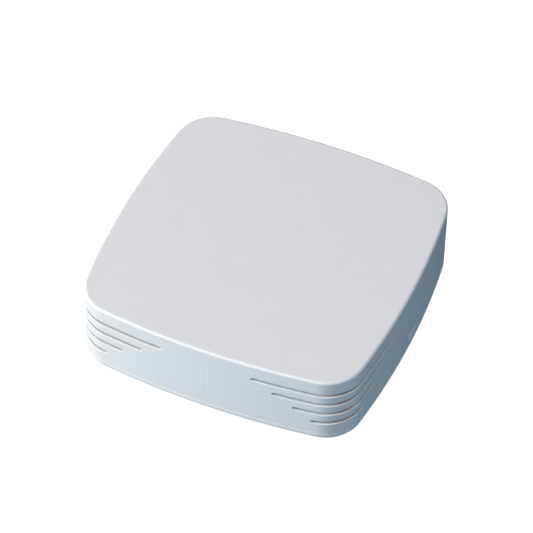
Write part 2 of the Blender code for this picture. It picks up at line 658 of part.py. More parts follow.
def make_status_light():
    y = -led_distance()
    add_object("status_led", box("status_led", LED_SIZE), "clear", (0.0, y, PART_BASE))
    foot = PART_BASE + LED_SIZE[2] + GAP
    length = TOP - TOP_THICKNESS + WINDOW_DEPTH - GAP - foot
    profile = [(PIPE_RADIUS, 0.0), (PIPE_RADIUS, length - PIPE_FLANGE),
               (PIPE_FLANGE_RADIUS, length - PIPE_FLANGE), (PIPE_FLANGE_RADIUS, length)]
    add_object("light_pipe", turned("light_pipe", profile, 16), "clear", (0.0, y, foot))


# Sockets

def make_ethernet_jack():
    """Shield, moulded insert, spring contacts and two lamps, opening towards +Y."""
    width, depth, height = ETHERNET_SIZE
    wall = ETHERNET_SHELL_WALL
    place = (ETHERNET_X, PORT_FACE - depth / 2, PART_BASE)
    shell = add_object("ethernet_jack_shell", box("ethernet_jack_shell", ETHERNET_SIZE), "can", place)
    inner = (width - 2 * wall, depth, height - 2 * wall)
    hollow = box("jack_hollow", inner, (ETHERNET_X, place[1] + wall), PART_BASE + wall)
    combine(shell, "DIFFERENCE", "jack_hollow", [hollow])

    insert_size = (inner[0] - 2 * GAP, depth - wall - GAP - PORT_SETBACK, inner[2] - 2 * GAP)
    insert_base = PART_BASE + wall + GAP
    insert_face = PORT_FACE - PORT_SETBACK
    insert = add_object("ethernet_jack_insert", box("ethernet_jack_insert", insert_size), "black_plastic",
                        (ETHERNET_X, insert_face - insert_size[1] / 2, insert_base))
    cavity_floor = insert_base + PLUG_CAVITY_BASE
    cavity = box("plug_cavity", (PLUG_CAVITY[0], 2 * PLUG_CAVITY[1], PLUG_CAVITY[2]),
                 (ETHERNET_X, insert_face), cavity_floor)
    notch = box("latch_notch", (LATCH_NOTCH[0], 2 * LATCH_NOTCH[1], 2 * LATCH_NOTCH[2]),
                (ETHERNET_X, insert_face), cavity_floor - LATCH_NOTCH[2])
    lamp_base = insert_base + (PLUG_CAVITY_BASE - JACK_LAMP[2]) / 2
    pockets = [box("lamp_pocket", (JACK_LAMP[0] + 2 * GAP, 2 * (JACK_LAMP[1] + GAP), JACK_LAMP[2] + 2 * GAP),
                   (ETHERNET_X + side * JACK_LAMP_X, insert_face), lamp_base - GAP) for side in (-1, 1)]
    combine(insert, "DIFFERENCE", "insert_cuts", [cavity, notch] + pockets)

    for name, side, material in (("ethernet_link_lamp", -1, "lamp_green"),
                                 ("ethernet_data_lamp", 1, "lamp_amber")):
        add_object(name, box(name, JACK_LAMP), material,
                   (ETHERNET_X + side * JACK_LAMP_X, insert_face - JACK_LAMP[1] / 2, lamp_base))
    make_ethernet_contacts(insert_face, cavity_floor + PLUG_CAVITY[2])


def make_ethernet_contacts(face, ceiling):
    """Spring fingers that slope down from a carrier at the back of the plug cavity."""
    back = face - PLUG_CAVITY[1] + GAP
    top = ceiling - GAP
    carrier_size = (CONTACT_COUNT * CONTACT_PITCH, 2.0 * MM, 1.2 * MM)
    carrier = box("ethernet_contacts", carrier_size, (0.0, carrier_size[1] / 2), -carrier_size[2])
    contacts = add_object("ethernet_contacts", carrier, "contact", (ETHERNET_X, back, top))
    thickness, drop, reach = 0.4 * MM, 2.0 * MM, 7.0 * MM
    root = 0.5 * MM
    low = -root - thickness
    profile = [(root, -root), (reach, -root - drop), (reach, low - drop), (root, low)]
    fingers = []
    for i in range(CONTACT_COUNT):
        x = ETHERNET_X + (i - (CONTACT_COUNT - 1) / 2) * CONTACT_PITCH
        finger = extruded("finger", [(back + y, top + z) for y, z in profile], CONTACT_WIDTH)
        finger.transform(Matrix.Translation((x, 0.0, 0.0)))
        fingers.append(finger)
    combine(contacts, "UNION", "contact_fingers", fingers)


def make_usb_port():
    width, depth, height = USB_SIZE
    wall = USB_SHELL_WALL
    shell = add_object("usb_shell", box("usb_shell", USB_SIZE), "can",
                       (USB_X, PORT_FACE - depth / 2, PART_BASE))
    hollow = box("usb_hollow", (width - 2 * wall, depth, height - 2 * wall),
                 (USB_X, PORT_FACE - depth / 2 + wall), PART_BASE + wall)
    combine(shell, "DIFFERENCE", "usb_hollow", [hollow])
    back = wall + GAP
    floor = GAP
    ceiling = height - 2 * wall - GAP
    block = depth - back - USB_TONGUE[1] - 2 * PORT_SETBACK
    low, high = USB_TONGUE_RISE, USB_TONGUE_RISE + USB_TONGUE[2]
    profile = [(0.0, floor), (block, floor), (block, low), (block + USB_TONGUE[1], low),
               (block + USB_TONGUE[1], high), (block, high), (block, ceiling), (0.0, ceiling)]
    add_object("usb_tongue", extruded("usb_tongue", profile, USB_TONGUE[0]), "black_plastic",
               (USB_X, PORT_FACE - depth + back, PART_BASE + wall))


def make_power_jack():
    """A barrel socket: a moulded body with a round bore and a pin along its axis."""
    width, depth, height = POWER_SIZE
    axis_z = PART_BASE + POWER_BORE_RISE
    body = add_object("power_jack_body", box("power_jack_body", POWER_SIZE), "black_plastic",
                      (POWER_X, PORT_FACE - depth / 2, PART_BASE))
    bore = lying_round("power_bore", [(POWER_BORE_RADIUS, PORT_FACE - POWER_BORE_DEPTH),
                                      (POWER_BORE_RADIUS, PORT_FACE + OVERRUN)], POWER_X, axis_z)
    combine(body, "DIFFERENCE", "power_bore", [bore])
    root = PORT_FACE - POWER_BORE_DEPTH + GAP
    tip = PORT_FACE - POWER_PIN_SETBACK
    radius = POWER_PIN_RADIUS
    pin = lying_round("power_jack_pin", [(radius, root), (radius, tip - radius * 0.6), (radius * 0.75, tip)],
                      0.0, 0.0)
    add_object("power_jack_pin", pin, "can", (POWER_X, 0.0, axis_z))


def lying_round(name, profile, x, z):
    """A round solid about a line along Y, from (radius, y) pairs."""
    rings = [[Vector((x + a, y, z + b)) for a, b in circle(radius, 16)] for radius, y in profile]
    return loft(name, rings)


# Side button

def switch_face():
    return side_surface(BUTTON_Y, BOARD_INSET) - SWITCH_SETBACK


def plunger_tip():
    return switch_face() + PLUNGER_PROUD


def button_flange_face():
    """Front of the flange, a gap behind the wall where the wall curves in the most."""
    far_end = BUTTON_Y + BUTTON_LENGTH / 2 + BUTTON_FLANGE
    return side_surface(far_end, WALL) - GAP


def button_flange_back():
    return button_flange_face() - BUTTON_FLANGE_THICKNESS


def pill_ring(length, height, x):
    return [Vector((x, y, z)) for y, z in pill(length, height)]


def make_side_button():
    """A pill-shaped cap, a flange that stops it behind the wall, and a stem to the switch."""
    flange_face, flange_back = button_flange_face(), button_flange_back()
    face = side_surface(BUTTON_Y) + BUTTON_PROUD
    cap = (BUTTON_LENGTH - 2 * GAP, BUTTON_HEIGHT - 2 * GAP)
    flange = (BUTTON_LENGTH + 2 * BUTTON_FLANGE, BUTTON_HEIGHT + 2 * BUTTON_FLANGE)
    edge = 0.2 * MM
    rings = [pill_ring(cap[0] - 2 * edge, cap[1] - 2 * edge, face), pill_ring(*cap, face - edge),
             pill_ring(*cap, flange_face), pill_ring(*flange, flange_face), pill_ring(*flange, flange_back),
             pill_ring(*BUTTON_STEM, flange_back), pill_ring(*BUTTON_STEM, plunger_tip() + GAP)]
    add_object("side_button", loft("side_button", rings), "casing", (0.0, BUTTON_Y, BUTTON_Z))


def make_button_switch():
    depth, width, height = SWITCH_SIZE
    top = BOARD_UNDER - GAP
    face = switch_face()
    body = add_object("button_switch", box("button_switch", SWITCH_SIZE), "black_plastic",
                      (face - depth / 2, BUTTON_Y, top - height))
    pocket_depth = PLUNGER[0] - PLUNGER_PROUD + BUTTON_TRAVEL + GAP
    pocket = box("plunger_pocket", (2 * pocket_depth, PLUNGER[1] + 2 * GAP, PLUNGER[2] + 2 * GAP),
                 (face, BUTTON_Y), BUTTON_Z - PLUNGER[2] / 2 - GAP)
    combine(body, "DIFFERENCE", "plunger_pocket", [pocket])
    plunger = box("switch_plunger", PLUNGER, (plunger_tip() - PLUNGER[0] / 2, 0.0), -PLUNGER[2] / 2)
    add_object("switch_plunger", plunger, "black_plastic", (0.0, BUTTON_Y, BUTTON_Z))


def build_hub():
    clear_scene()
    make_top_cover()
    make_base_plate()
    make_feet()
    make_rating_plate()
    make_screws()
    make_main_board()
    make_chips()
    make_radios()
    make_antennas()
    make_power_parts()
    make_status_light()
    make_ethernet_jack()
    make_usb_port()
    make_power_jack()
    make_side_button()
    make_button_switch()


build_hub()
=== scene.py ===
import math
import bpy
import bmesh
import numpy as np
from mathutils import Matrix, Vector


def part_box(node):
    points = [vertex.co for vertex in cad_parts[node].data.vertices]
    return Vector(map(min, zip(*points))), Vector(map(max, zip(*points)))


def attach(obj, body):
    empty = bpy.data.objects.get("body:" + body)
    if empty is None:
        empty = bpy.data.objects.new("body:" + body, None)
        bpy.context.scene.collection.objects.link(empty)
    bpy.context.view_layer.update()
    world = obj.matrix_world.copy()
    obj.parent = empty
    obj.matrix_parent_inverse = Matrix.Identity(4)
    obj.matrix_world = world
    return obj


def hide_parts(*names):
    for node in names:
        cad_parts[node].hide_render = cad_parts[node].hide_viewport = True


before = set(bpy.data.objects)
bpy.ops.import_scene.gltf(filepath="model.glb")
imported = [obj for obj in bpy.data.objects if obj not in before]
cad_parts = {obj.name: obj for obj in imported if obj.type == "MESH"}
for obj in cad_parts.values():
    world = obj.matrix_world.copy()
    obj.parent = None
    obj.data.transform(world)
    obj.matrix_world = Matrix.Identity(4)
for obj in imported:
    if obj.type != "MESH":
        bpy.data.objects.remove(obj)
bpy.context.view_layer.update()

# Lengths are in millimetres until a mesh is made. This turns them into metres.
millimetre = 0.001


def corners(node):
    # A CAD node's low corner, high corner, middle and size
    low, high = (np.array(corner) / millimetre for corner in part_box(node))
    return low, high, (low + high) / 2, high - low


coverLow, coverHigh = corners("top_cover")[:2]
halfWidth, hubTop = coverHigh[0], coverHigh[2]
bodyBottom = corners("base_plate")[0][2]
boardTop = corners("main_board")[1][2]


# Camera: it looks down on the front corner, slightly turned about its own line of sight

camera = {
    "azimuth": 22.268, "elevation": 47.47, "roll": 1.238,       # degrees
    "distance": 1337.7, "lens": 226.3, "sensor": 36.0,
    "aim": (4.012, -11.125, hubTop),
    "clipStart": 0.01, "clipEnd": 50.0,                         # metres
}


def placeCamera():
    # Back points from the aim to the lens. Right and up lie across it and are turned by the roll.
    azimuth, elevation, roll = (math.radians(camera[key]) for key in ("azimuth", "elevation", "roll"))
    back = Vector((math.sin(azimuth) * math.cos(elevation), -math.cos(azimuth) * math.cos(elevation),
                   math.sin(elevation)))
    right = Vector((math.cos(azimuth), math.sin(azimuth), 0.0))
    up = back.cross(right)
    turnedRight = right * math.cos(roll) + up * math.sin(roll)
    turnedUp = up * math.cos(roll) - right * math.sin(roll)
    place = (Vector(camera["aim"]) + back * camera["distance"]) * millimetre
    data = bpy.data.cameras.new("studioCamera")
    data.lens, data.sensor_width = camera["lens"], camera["sensor"]
    data.clip_start, data.clip_end = camera["clipStart"], camera["clipEnd"]
    made = bpy.data.objects.new("studioCamera", data)
    bpy.context.scene.collection.objects.link(made)
    made.matrix_world = Matrix((
        (turnedRight.x, turnedUp.x, back.x, place.x),
        (turnedRight.y, turnedUp.y, back.y, place.y),
        (turnedRight.z, turnedUp.z, back.z, place.z),
        (0.0, 0.0, 0.0, 1.0)))
    bpy.context.scene.camera = made


placeCamera()
print("camera placed")


# Materials

def linearColour(code):
    # sRGB hex to linear: below 0.04045 a straight line, above it a power of 2.4
    values = [int(code[i:i + 2], 16) / 255 for i in (0, 2, 4)]
    return [v / 12.92 if v <= 0.04045 else ((v + 0.055) / 1.055) ** 2.4 for v in values] + [1.0]


def addNode(tree, kind, settings=None, links=None):
    # A lower-case word sets the node's own property. Any other key is an input, by name or number.
    node = tree.nodes.new(kind)
    for key, value in (settings or {}).items():
        if isinstance(key, str) and key[0].islower():
            setattr(node, key, value)
        else:
            node.inputs[key].default_value = value
    for key, source in (links or {}).items():
        tree.links.new(source, node.inputs[key])
    return node


def startMaterial(name, shaderSettings):
    material = bpy.data.materials.new(name)
    material.use_nodes = True
    tree = material.node_tree
    tree.nodes.clear()
    shader = addNode(tree, "ShaderNodeBsdfPrincipled", shaderSettings)
    addNode(tree, "ShaderNodeOutputMaterial", links={"Surface": shader.outputs["BSDF"]})
    place = addNode(tree, "ShaderNodeTexCoord").outputs["Object"]
    return material, tree, shader, place


def perMetre(grain):
    # How many pattern cells of this size there are in a metre
    return 1.0 / (grain * millimetre)


def grainBump(tree, shader, place, grain, depth, detail, stretch):
    # A fine noise of this grain size, stretched along an axis for a drawn surface, drives the bump
    mapped = addNode(tree, "ShaderNodeMapping", {"Scale": stretch}, {"Vector": place})
    noise = addNode(tree, "ShaderNodeTexNoise",
                    {"Scale": perMetre(grain), "Detail": detail, "Roughness": 0.55},
                    {"Vector": mapped.outputs["Vector"]})
    bump = addNode(tree, "ShaderNodeBump", {"Strength": 1.0, "Distance": depth * millimetre},
                   {"Height": noise.outputs["Fac"]})
    tree.links.new(bump.outputs["Normal"], shader.inputs["Normal"])


def mottled(tree, shader, place, pale, dark, patch, rough):
    # Slow noise that shifts the colour between two close tones and the roughness between two values
    noise = addNode(tree, "ShaderNodeTexNoise", {"Scale": perMetre(patch), "Detail": 3.0}, {"Vector": place})
    ramp = addNode(tree, "ShaderNodeMapRange", {"From Min": 0.35, "From Max": 0.65},
                   {"Value": noise.outputs["Fac"]})
    mix = addNode(tree, "ShaderNodeMix", {"data_type": "RGBA", 6: linearColour(pale), 7: linearColour(dark)},
                  {0: ramp.outputs["Result"]})
    tree.links.new(mix.outputs[2], shader.inputs["Base Color"])
    spread = addNode(tree, "ShaderNodeMapRange",
                     {"From Min": 0.3, "From Max": 0.7, "To Min": rough[0], "To Max": rough[1]},
                     {"Value": noise.outputs["Fac"]})
    tree.links.new(spread.outputs["Result"], shader.inputs["Roughness"])


def grained(name, shaderSettings, tones, patch, rough, grain, depth, detail=2.0, stretch=(1.0, 1.0, 1.0)):
    # The common finish: two close tones in patches, a range of roughness, and a fine grain of some depth
    material, tree, shader, place = startMaterial(name, shaderSettings)
    mottled(tree, shader, place, *tones, patch, rough)
    grainBump(tree, shader, place, grain, depth, detail, stretch)
    return material


def mouldedAbs():
    # White ABS from a spark-eroded mould: an even satin skin, with broad soft highlights and no gloss.
    # The real grain is about 0.05 mm and would not show, so it is drawn at 0.35 mm.
    return grained("mouldedSatinAbs", {"IOR": 1.52}, tones=("e9e9eb", "e8e8ea"), patch=9.0,
                   rough=(0.54, 0.57), grain=0.35, depth=0.010, detail=3.0)


def mouldedRubber():
    # Compression-moulded silicone rubber: dark, dull, faintly dusty
    return grained("mouldedRubber", {"IOR": 1.43}, tones=("39393c", "2c2c2f"), patch=2.5,
                   rough=(0.75, 0.9), grain=0.25, depth=0.02)


def platedSteel():
    # Zinc-plated steel, tumbled: bright, cool, with a slight patchy haze
    return grained("zincPlatedSteel", {"Metallic": 1.0}, tones=("c3c6ca", "aeb2b8"), patch=0.9,
                   rough=(0.24, 0.38), grain=0.12, depth=0.004)


def tinnedSheet():
    # Tin-plated sheet steel, rolled: a long faint grain one way and soft reflections
    return grained("tinPlatedSheet", {"Metallic": 1.0}, tones=("d2d3d5", "bfc1c4"), patch=2.0,
                   rough=(0.26, 0.40), grain=0.15, depth=0.004, stretch=(1.0, 0.08, 1.0))


def blackMoulding():
    # Glass-filled nylon as in sockets: near black, satin, with a fine grain
    return grained("mouldedBlackNylon", {"IOR": 1.53}, tones=("2a2b2d", "222325"), patch=1.6,
                   rough=(0.42, 0.55), grain=0.16, depth=0.008)


def goldWire():
    # Gold-plated phosphor bronze wire: warm and bright
    return grained("goldPlatedBronze", {"Metallic": 1.0}, tones=("e8c27a", "d9ae62"), patch=0.7,
                   rough=(0.18, 0.28), grain=0.08, depth=0.002)


def tintedLens(name, pale, dark):
    # Moulded polycarbonate lens over a lamp that is off: clear, tinted, glossy
    return grained(name, {"IOR": 1.585, "Transmission Weight": 0.35}, tones=(pale, dark), patch=1.2,
                   rough=(0.10, 0.18), grain=0.3, depth=0.003)


def clearAcrylic():
    # Moulded acrylic light pipe: clear with polished sides
    return grained("mouldedAcrylic", {"IOR": 1.49, "Transmission Weight": 0.85},
                   tones=("f3f5f6", "e6eaec"), patch=3.0, rough=(0.05, 0.12), grain=0.5, depth=0.003)


def solderMask():
    # Glass-fibre board under green solder mask: copper tracks show as slightly paler, raised lines
    material, tree, shader, place = startMaterial("maskedGlassFibre", {"IOR": 1.5, "Coat Weight": 0.3})
    tracks = addNode(tree, "ShaderNodeTexBrick", {
        "Scale": perMetre(9.0), "Color1": linearColour("1d5c3c"), "Color2": linearColour("195136"),
        "Mortar": linearColour("2b7a50"), "Mortar Size": 0.018, "offset": 0.37}, {"Vector": place})
    tree.links.new(tracks.outputs["Color"], shader.inputs["Base Color"])
    haze = addNode(tree, "ShaderNodeTexNoise", {"Scale": perMetre(3.0)}, {"Vector": place})
    spread = addNode(tree, "ShaderNodeMapRange", {"To Min": 0.35, "To Max": 0.5},
                     {"Value": haze.outputs["Fac"]})
    tree.links.new(spread.outputs["Result"], shader.inputs["Roughness"])
    bump = addNode(tree, "ShaderNodeBump", {"Strength": 0.6, "Distance": 0.035 * millimetre},
                   {"Height": tracks.outputs["Fac"]})
    tree.links.new(bump.outputs["Normal"], shader.inputs["Normal"])
    return material


def chipEpoxy():
    # Transfer-moulded epoxy: charcoal, dull, with a sandy grain
    return grained("mouldedEpoxy", {"IOR": 1.55}, tones=("303033", "27272a"), patch=2.0,
                   rough=(0.5, 0.65), grain=0.12, depth=0.01)


def gapPad():
    # Silicone gap pad: soft blue-grey, dull, slightly uneven
    return grained("siliconeGapPad", {"IOR": 1.41}, tones=("8fa0b4", "8393a8"), patch=1.5,
                   rough=(0.75, 0.9), grain=0.5, depth=0.04)


def extrudedAluminium():
    # Extruded and clear-anodised aluminium: grey, with fine die lines along the fins
    return grained("anodisedAluminium", {"Metallic": 1.0}, tones=("b4b7bb", "a5a8ad"), patch=4.0,
                   rough=(0.36, 0.46), grain=0.2, depth=0.006, stretch=(1.0, 0.05, 1.0))


def shrunkSleeve():
    # Heat-shrunk film on a capacitor: dark blue, glossy, a little rippled
    return grained("shrunkFilm", {"IOR": 1.54}, tones=("27304a", "1f2740"), patch=2.0, rough=(0.2, 0.3),
                   grain=1.4, depth=0.03)


def firedFerrite():
    # Pressed and fired ferrite: dark grey, dull and granular
    return grained("firedFerrite", {"IOR": 1.9}, tones=("48484a", "3a3a3c"), patch=0.8, rough=(0.65, 0.8),
                   grain=0.15, depth=0.015)


def labelFilm():
    # Polyester label film with a matt overprint, left blank: silver-grey and smooth
    return grained("polyesterLabelFilm", {"IOR": 1.6}, tones=("c9ccd0", "c3c6ca"), patch=9.0,
                   rough=(0.34, 0.42), grain=0.4, depth=0.003)


finishes = {
    "casing_plastic": mouldedAbs(),
    "foot_rubber": mouldedRubber(),
    "screw_steel": platedSteel(),
    "shield_metal": tinnedSheet(),
    "black_plastic": blackMoulding(),
    "contact_gold": goldWire(),
    "lamp_green": tintedLens("tintedGreenLens", "7fd08a", "6cc079"),
    "lamp_amber": tintedLens("tintedAmberLens", "eab560", "dea54e"),
    "clear_acrylic": clearAcrylic(),
    "circuit_board": solderMask(),
    "chip_epoxy": chipEpoxy(),
    "thermal_pad": gapPad(),
    "heatsink_aluminium": extrudedAluminium(),
    "capacitor_sleeve": shrunkSleeve(),
    "ferrite": firedFerrite(),
    "plate_film": labelFilm(),
}
print("materials made:", len(finishes))


# Mesh helpers. A grid is an array of rows of points, whose columns join round into a tube, and its faces.

weld = 0.002 * millimetre                # points nearer than this are one point
postEdge = 0.2                           # the small bevel on a moulded post or pad
cornerSigns = ((1, 1), (-1, 1), (-1, -1), (1, -1))


def tube(points, keep=None):
    # A face joins each point to the next in its row and to the two below. keep says which faces stay.
    numbers = np.arange(points.shape[0] * points.shape[1]).reshape(points.shape[:2])
    after = np.roll(numbers, -1, axis=1)
    quads = np.stack([numbers[:-1], after[:-1], after[1:], numbers[1:]], axis=-1)
    return points, quads.reshape(-1, 4) if keep is None else quads[keep]


def newMesh(name, grids, sharpAngle=50.0):
    # Puts the grids in one mesh, welds the points they share and turns the faces outwards
    pointLists = [points.reshape(-1, 3) for points, faces in grids]
    faceLists = [faces for points, faces in grids]
    starts = np.cumsum([0] + [len(points) for points in pointLists[:-1]])
    points = np.concatenate(pointLists) * millimetre
    faces = np.concatenate([faces + start for faces, start in zip(faceLists, starts)])
    mesh = bpy.data.meshes.new(name)
    mesh.from_pydata(points.tolist(), [], faces.tolist())
    work = bmesh.new()
    work.from_mesh(mesh)
    bmesh.ops.remove_doubles(work, verts=work.verts, dist=weld)
    bmesh.ops.dissolve_degenerate(work, edges=work.edges, dist=weld * 0.1)
    bmesh.ops.delete(work, geom=[v for v in work.verts if not v.link_faces], context="VERTS")
    bmesh.ops.recalc_face_normals(work, faces=work.faces)
    work.to_mesh(mesh)
    work.free()
    mesh.shade_smooth()
    mesh.set_sharp_from_angle(angle=math.radians(sharpAngle))
    return mesh


def showPiece(name, mesh, finish, replaced=(), body="hub_body"):
    # Puts a mesh in the scene with its finish, riding on its body, in place of the CAD nodes it replaces
    piece = bpy.data.objects.new(name, mesh)
    bpy.context.scene.collection.objects.link(piece)
    mesh.materials.clear()
    mesh.materials.append(finishes[finish])
    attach(piece, body)
    if replaced:
        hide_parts(*replaced)
    return piece


def showGrids(name, grids, finish, *replaced, sharpAngle=50.0, body="hub_body"):
    showPiece(name, newMesh(name, grids, sharpAngle), finish, replaced, body)


def turned(profile, centre=(0.0, 0.0), steps=48):
    # A profile of (radius, height) pairs carried round a vertical line, with a pole at each end
    radii, heights = np.array(profile, float).T
    angles = np.linspace(0.0, 2 * np.pi, steps, endpoint=False)
    points = np.empty((len(radii), steps, 3))
    points[..., 0] = centre[0] + radii[:, None] * np.cos(angles)
    points[..., 1] = centre[1] + radii[:, None] * np.sin(angles)
    points[..., 2] = heights[:, None]
    return tube(points)


def quarterRound(radius, steps):
    # A rounded edge's offsets from its two faces: one minus the sine and one minus the cosine
    angles = np.linspace(0.0, np.pi / 2, steps + 1)
    return radius * (1 - np.sin(angles)), radius * (1 - np.cos(angles))


def pillOutline(length, height, steps=10):
    # A slot outline: half circles on both ends of a straight middle
    radius = height / 2
    angles = np.linspace(-np.pi / 2, np.pi / 2, steps + 1)
    right = np.stack([length / 2 - radius + radius * np.cos(angles), radius * np.sin(angles)], axis=1)
    return np.concatenate([right, -right])


def roundedBox(width, depth, corner, steps=4):
    # A rectangle outline with round corners, as points from the middle: one corner's arc, mirrored about
    angles = np.linspace(0.0, np.pi / 2, steps + 1)
    arc = np.stack([np.cos(angles), np.sin(angles)], axis=1) * corner
    arc = arc + (width / 2 - corner, depth / 2 - corner)
    return np.concatenate([arc[::sx * sy] * (sx, sy) for sx, sy in cornerSigns])


def circleOutline(radius, centre, steps=48):
    angles = np.linspace(0.0, 2 * np.pi, steps, endpoint=False)
    return np.stack([centre[0] + radius * np.cos(angles), centre[1] + radius * np.sin(angles)], axis=1)


def withPoles(rings):
    # Closes a stack of rings with a point in the middle of the first and of the last
    first = np.repeat(rings[0].mean(axis=0)[None], rings[0].shape[0], axis=0)
    last = np.repeat(rings[-1].mean(axis=0)[None], rings[-1].shape[0], axis=0)
    return tube(np.stack([first] + list(rings) + [last]))


def stacked(rings, axis=2):
    # A closed piece from flat outlines, each at its own place along an axis: X is 0, Y is 1 and Z is 2
    return withPoles(np.array([np.insert(ring, axis, place, axis=1) for ring, place in rings]))


def rowPlaces(count, pitch):
    # Places of a row of equal things, from the row's middle
    return (np.arange(count) - (count - 1) / 2) * pitch


def hollowPost(centre, radius, hole, root, top, holeEnd, holeEdge):
    # A round post: its profile goes out along the root, up the side, in over the top and back down the hole
    down = math.copysign(1.0, root - top)
    return turned([(0.0, root), (radius, root), (radius, top + postEdge * down), (radius - postEdge, top),
                   (hole + holeEdge, top), (hole, top + holeEdge * down), (hole, holeEnd), (0.0, holeEnd)],
                  centre, 32)


# Casing outline: four bowed sides joined by round corners, all from the hub's axis

casing = {
    "sideBow": 5.8, "cornerRadius": 16.25, "wall": 2.0, "roof": 2.2,
    "topEdge": 1.0, "seamEdge": 0.15, "seamGap": 0.15,
    "slitCorners": (0, 1),                     # quarters from the -X side: the two front corners
    "slitEnds": (19.3, 27.9, 36.6, 44.2),      # from a side's middle, top row first
    "slitHeight": 1.5, "firstSlit": 7.75, "slitPitch": 5.367,
    "slitEdge": 0.3, "slitFlare": 0.18,        # round at a slit's mouth, and how much it widens inwards
    "holdWidth": 0.12,                         # the flat ring that keeps an opening's edge crisp
    "edgeHold": 0.25, "shoulder": 3.6, "rowGap": 0.4,
    "mouldLine": 0.05, "mouldLineWidth": 0.16,
    "bossOffset": 4.3, "bossRadius": 3.2, "bossFoot": 6.3, "bossRoot": 0.6,
    "pilotRadius": 1.3, "pilotTop": 13.9, "lipWidth": 1.2, "floor": 2.0,
    "pipeRadius": 3.0, "windowRadius": 3.3, "windowDepth": 1.4,    # the thin window over the light pipe
}
sideRadius = (halfWidth ** 2 + casing["sideBow"] ** 2) / (2 * casing["sideBow"])
sideCentre = sideRadius - halfWidth
cornerReach = sideRadius - casing["cornerRadius"]
cornerCentre = (math.sqrt(2 * cornerReach ** 2 - sideCentre ** 2) - sideCentre) / 2
joinAngle = math.atan2(cornerCentre, cornerCentre + sideCentre)
sideArc = sideRadius * joinAngle
quarterLength = 2 * sideArc + casing["cornerRadius"] * (math.pi / 2 - 2 * joinAngle)
bossPlace = cornerCentre + casing["bossOffset"]
firstTravel = 2 * quarterLength          # the grids start and end at the middle of the -X side
backTravel = 5 * quarterLength           # the middle of the +Y side, where travel runs towards -X
buttonTravel = 4 * quarterLength         # the middle of the +X side


def wallPlace(travel, inset):
    # Where the outline is after so much travel from the middle of the +X side, moved in by inset.
    # Each quarter is a large arc, a small arc and a large arc, and is its own mirror image.
    travel, inset = np.broadcast_arrays(np.asarray(travel, float), np.asarray(inset, float))
    quarter = np.floor(travel / quarterLength + 1e-9)
    along = travel - quarter * quarterLength
    mirrored = along > quarterLength / 2
    along = np.where(mirrored, quarterLength - along, along)
    onSide = along <= sideArc
    angle = np.where(onSide, along / sideRadius, joinAngle + (along - sideArc) / casing["cornerRadius"])
    radius = np.where(onSide, sideRadius, casing["cornerRadius"]) - inset
    x = radius * np.cos(angle) + np.where(onSide, -sideCentre, cornerCentre)
    y = radius * np.sin(angle) + np.where(onSide, 0.0, cornerCentre)
    x, y = np.where(mirrored, y, x), np.where(mirrored, x, y)
    turn = quarter * np.pi / 2
    return x * np.cos(turn) - y * np.sin(turn), x * np.sin(turn) + y * np.cos(turn)


def mouldLineInset(travel):
    # The halves of the mould meet at the middle of each side and leave a faint groove there
    offMiddle = np.abs((travel / quarterLength + 0.5) % 1.0 - 0.5) * quarterLength
    return casing["mouldLine"] * np.clip(1 - offMiddle / casing["mouldLineWidth"], 0.0, 1.0)


def wallPoints(travel, height, depth):
    # Points of the wall at these travels and heights, moved in by depth and by the mould line's groove
    x, y = wallPlace(travel, depth + mouldLineInset(travel))
    return np.stack(np.broadcast_arrays(x, y, height), axis=-1)


def plainStops():
    # Travels once round: coarse on the sides, fine round the corners, close beside the mould lines
    width = casing["mouldLineWidth"]
    side = np.concatenate([[0.0, width / 2, width, 2 * width], np.linspace(2.0, sideArc, 15)])
    corner = np.linspace(sideArc, quarterLength - sideArc, 21)[1:-1]
    quarter = np.concatenate([side, corner, quarterLength - side[::-1][:-1]])
    return np.concatenate([firstTravel + number * quarterLength + quarter for number in range(4)])


def onceRound(stops):
    # Travels in order, without doubles and without the last one, where the grid meets its own start
    stops = np.unique(np.round(stops, 6))
    return stops[stops < firstTravel + 4 * quarterLength - 1e-6]


def seamRows(stops, seam, edge, side, shelf):
    # The wall's last rows: how far in and how far from the seam, round a small edge and in to a shelf.
    # side is 1 for a wall above the seam and -1 for one below.
    pairs = ((0.0, edge + 0.2), (0.0, edge), (edge * 0.13, edge * 0.5), (edge * 0.5, edge * 0.13),
             (edge, 0.0), (shelf, 0.0))
    return [wallPoints(stops, seam + side * rise, inset) for inset, rise in pairs]


# Openings. A slot is a pair of travels where it starts and ends, with half-round ends. A row of slots
# shares a middle height and a half height. A grown slot keeps the centres of its ends.

button = {"middle": 2.4, "length": 9.0, "height": 2.6, "rise": 5.8}


def makeSlotRows():
    # The cooling slits from the top down, then the button's opening
    rows = []
    for number, end in enumerate(casing["slitEnds"]):
        middle = hubTop - casing["firstSlit"] - number * casing["slitPitch"]
        starts = [firstTravel + quarter * quarterLength for quarter in casing["slitCorners"]]
        slots = [(start + end, start + quarterLength - end) for start in starts]
        rows.append({"middle": middle, "half": casing["slitHeight"] / 2, "slots": slots})
    start = buttonTravel + button["middle"] - button["length"] / 2
    rows.append({"middle": bodyBottom + button["rise"], "half": button["height"] / 2,
                 "slots": [(start, start + button["length"])]})
    return rows


rimOutside = casing["slitEdge"] + casing["holdWidth"]


def capStops(slot, half, steps=7):
    # Travels that divide a slot's half-round ends evenly by angle, out to the outermost rim
    angles = np.linspace(0.0, np.pi / 2, steps)
    reach = (half + rimOutside) * np.cos(angles)
    return np.concatenate([slot[0] + half - reach, slot[1] - half + reach])


def capShare(travel, slot, half, outer):
    # How far along a slot's half-round end a place is: 0 on the straight part, -1 and 1 at the tips
    over = np.where(travel < slot[0] + half, travel - slot[0] - half,
                    np.where(travel > slot[1] - half, travel - slot[1] + half, 0.0))
    share = np.clip(over / outer, -1.0, 1.0)
    share = np.where(np.abs(share) > 0.9999, np.sign(share), share)
    return over, share, np.sqrt(1 - share ** 2)


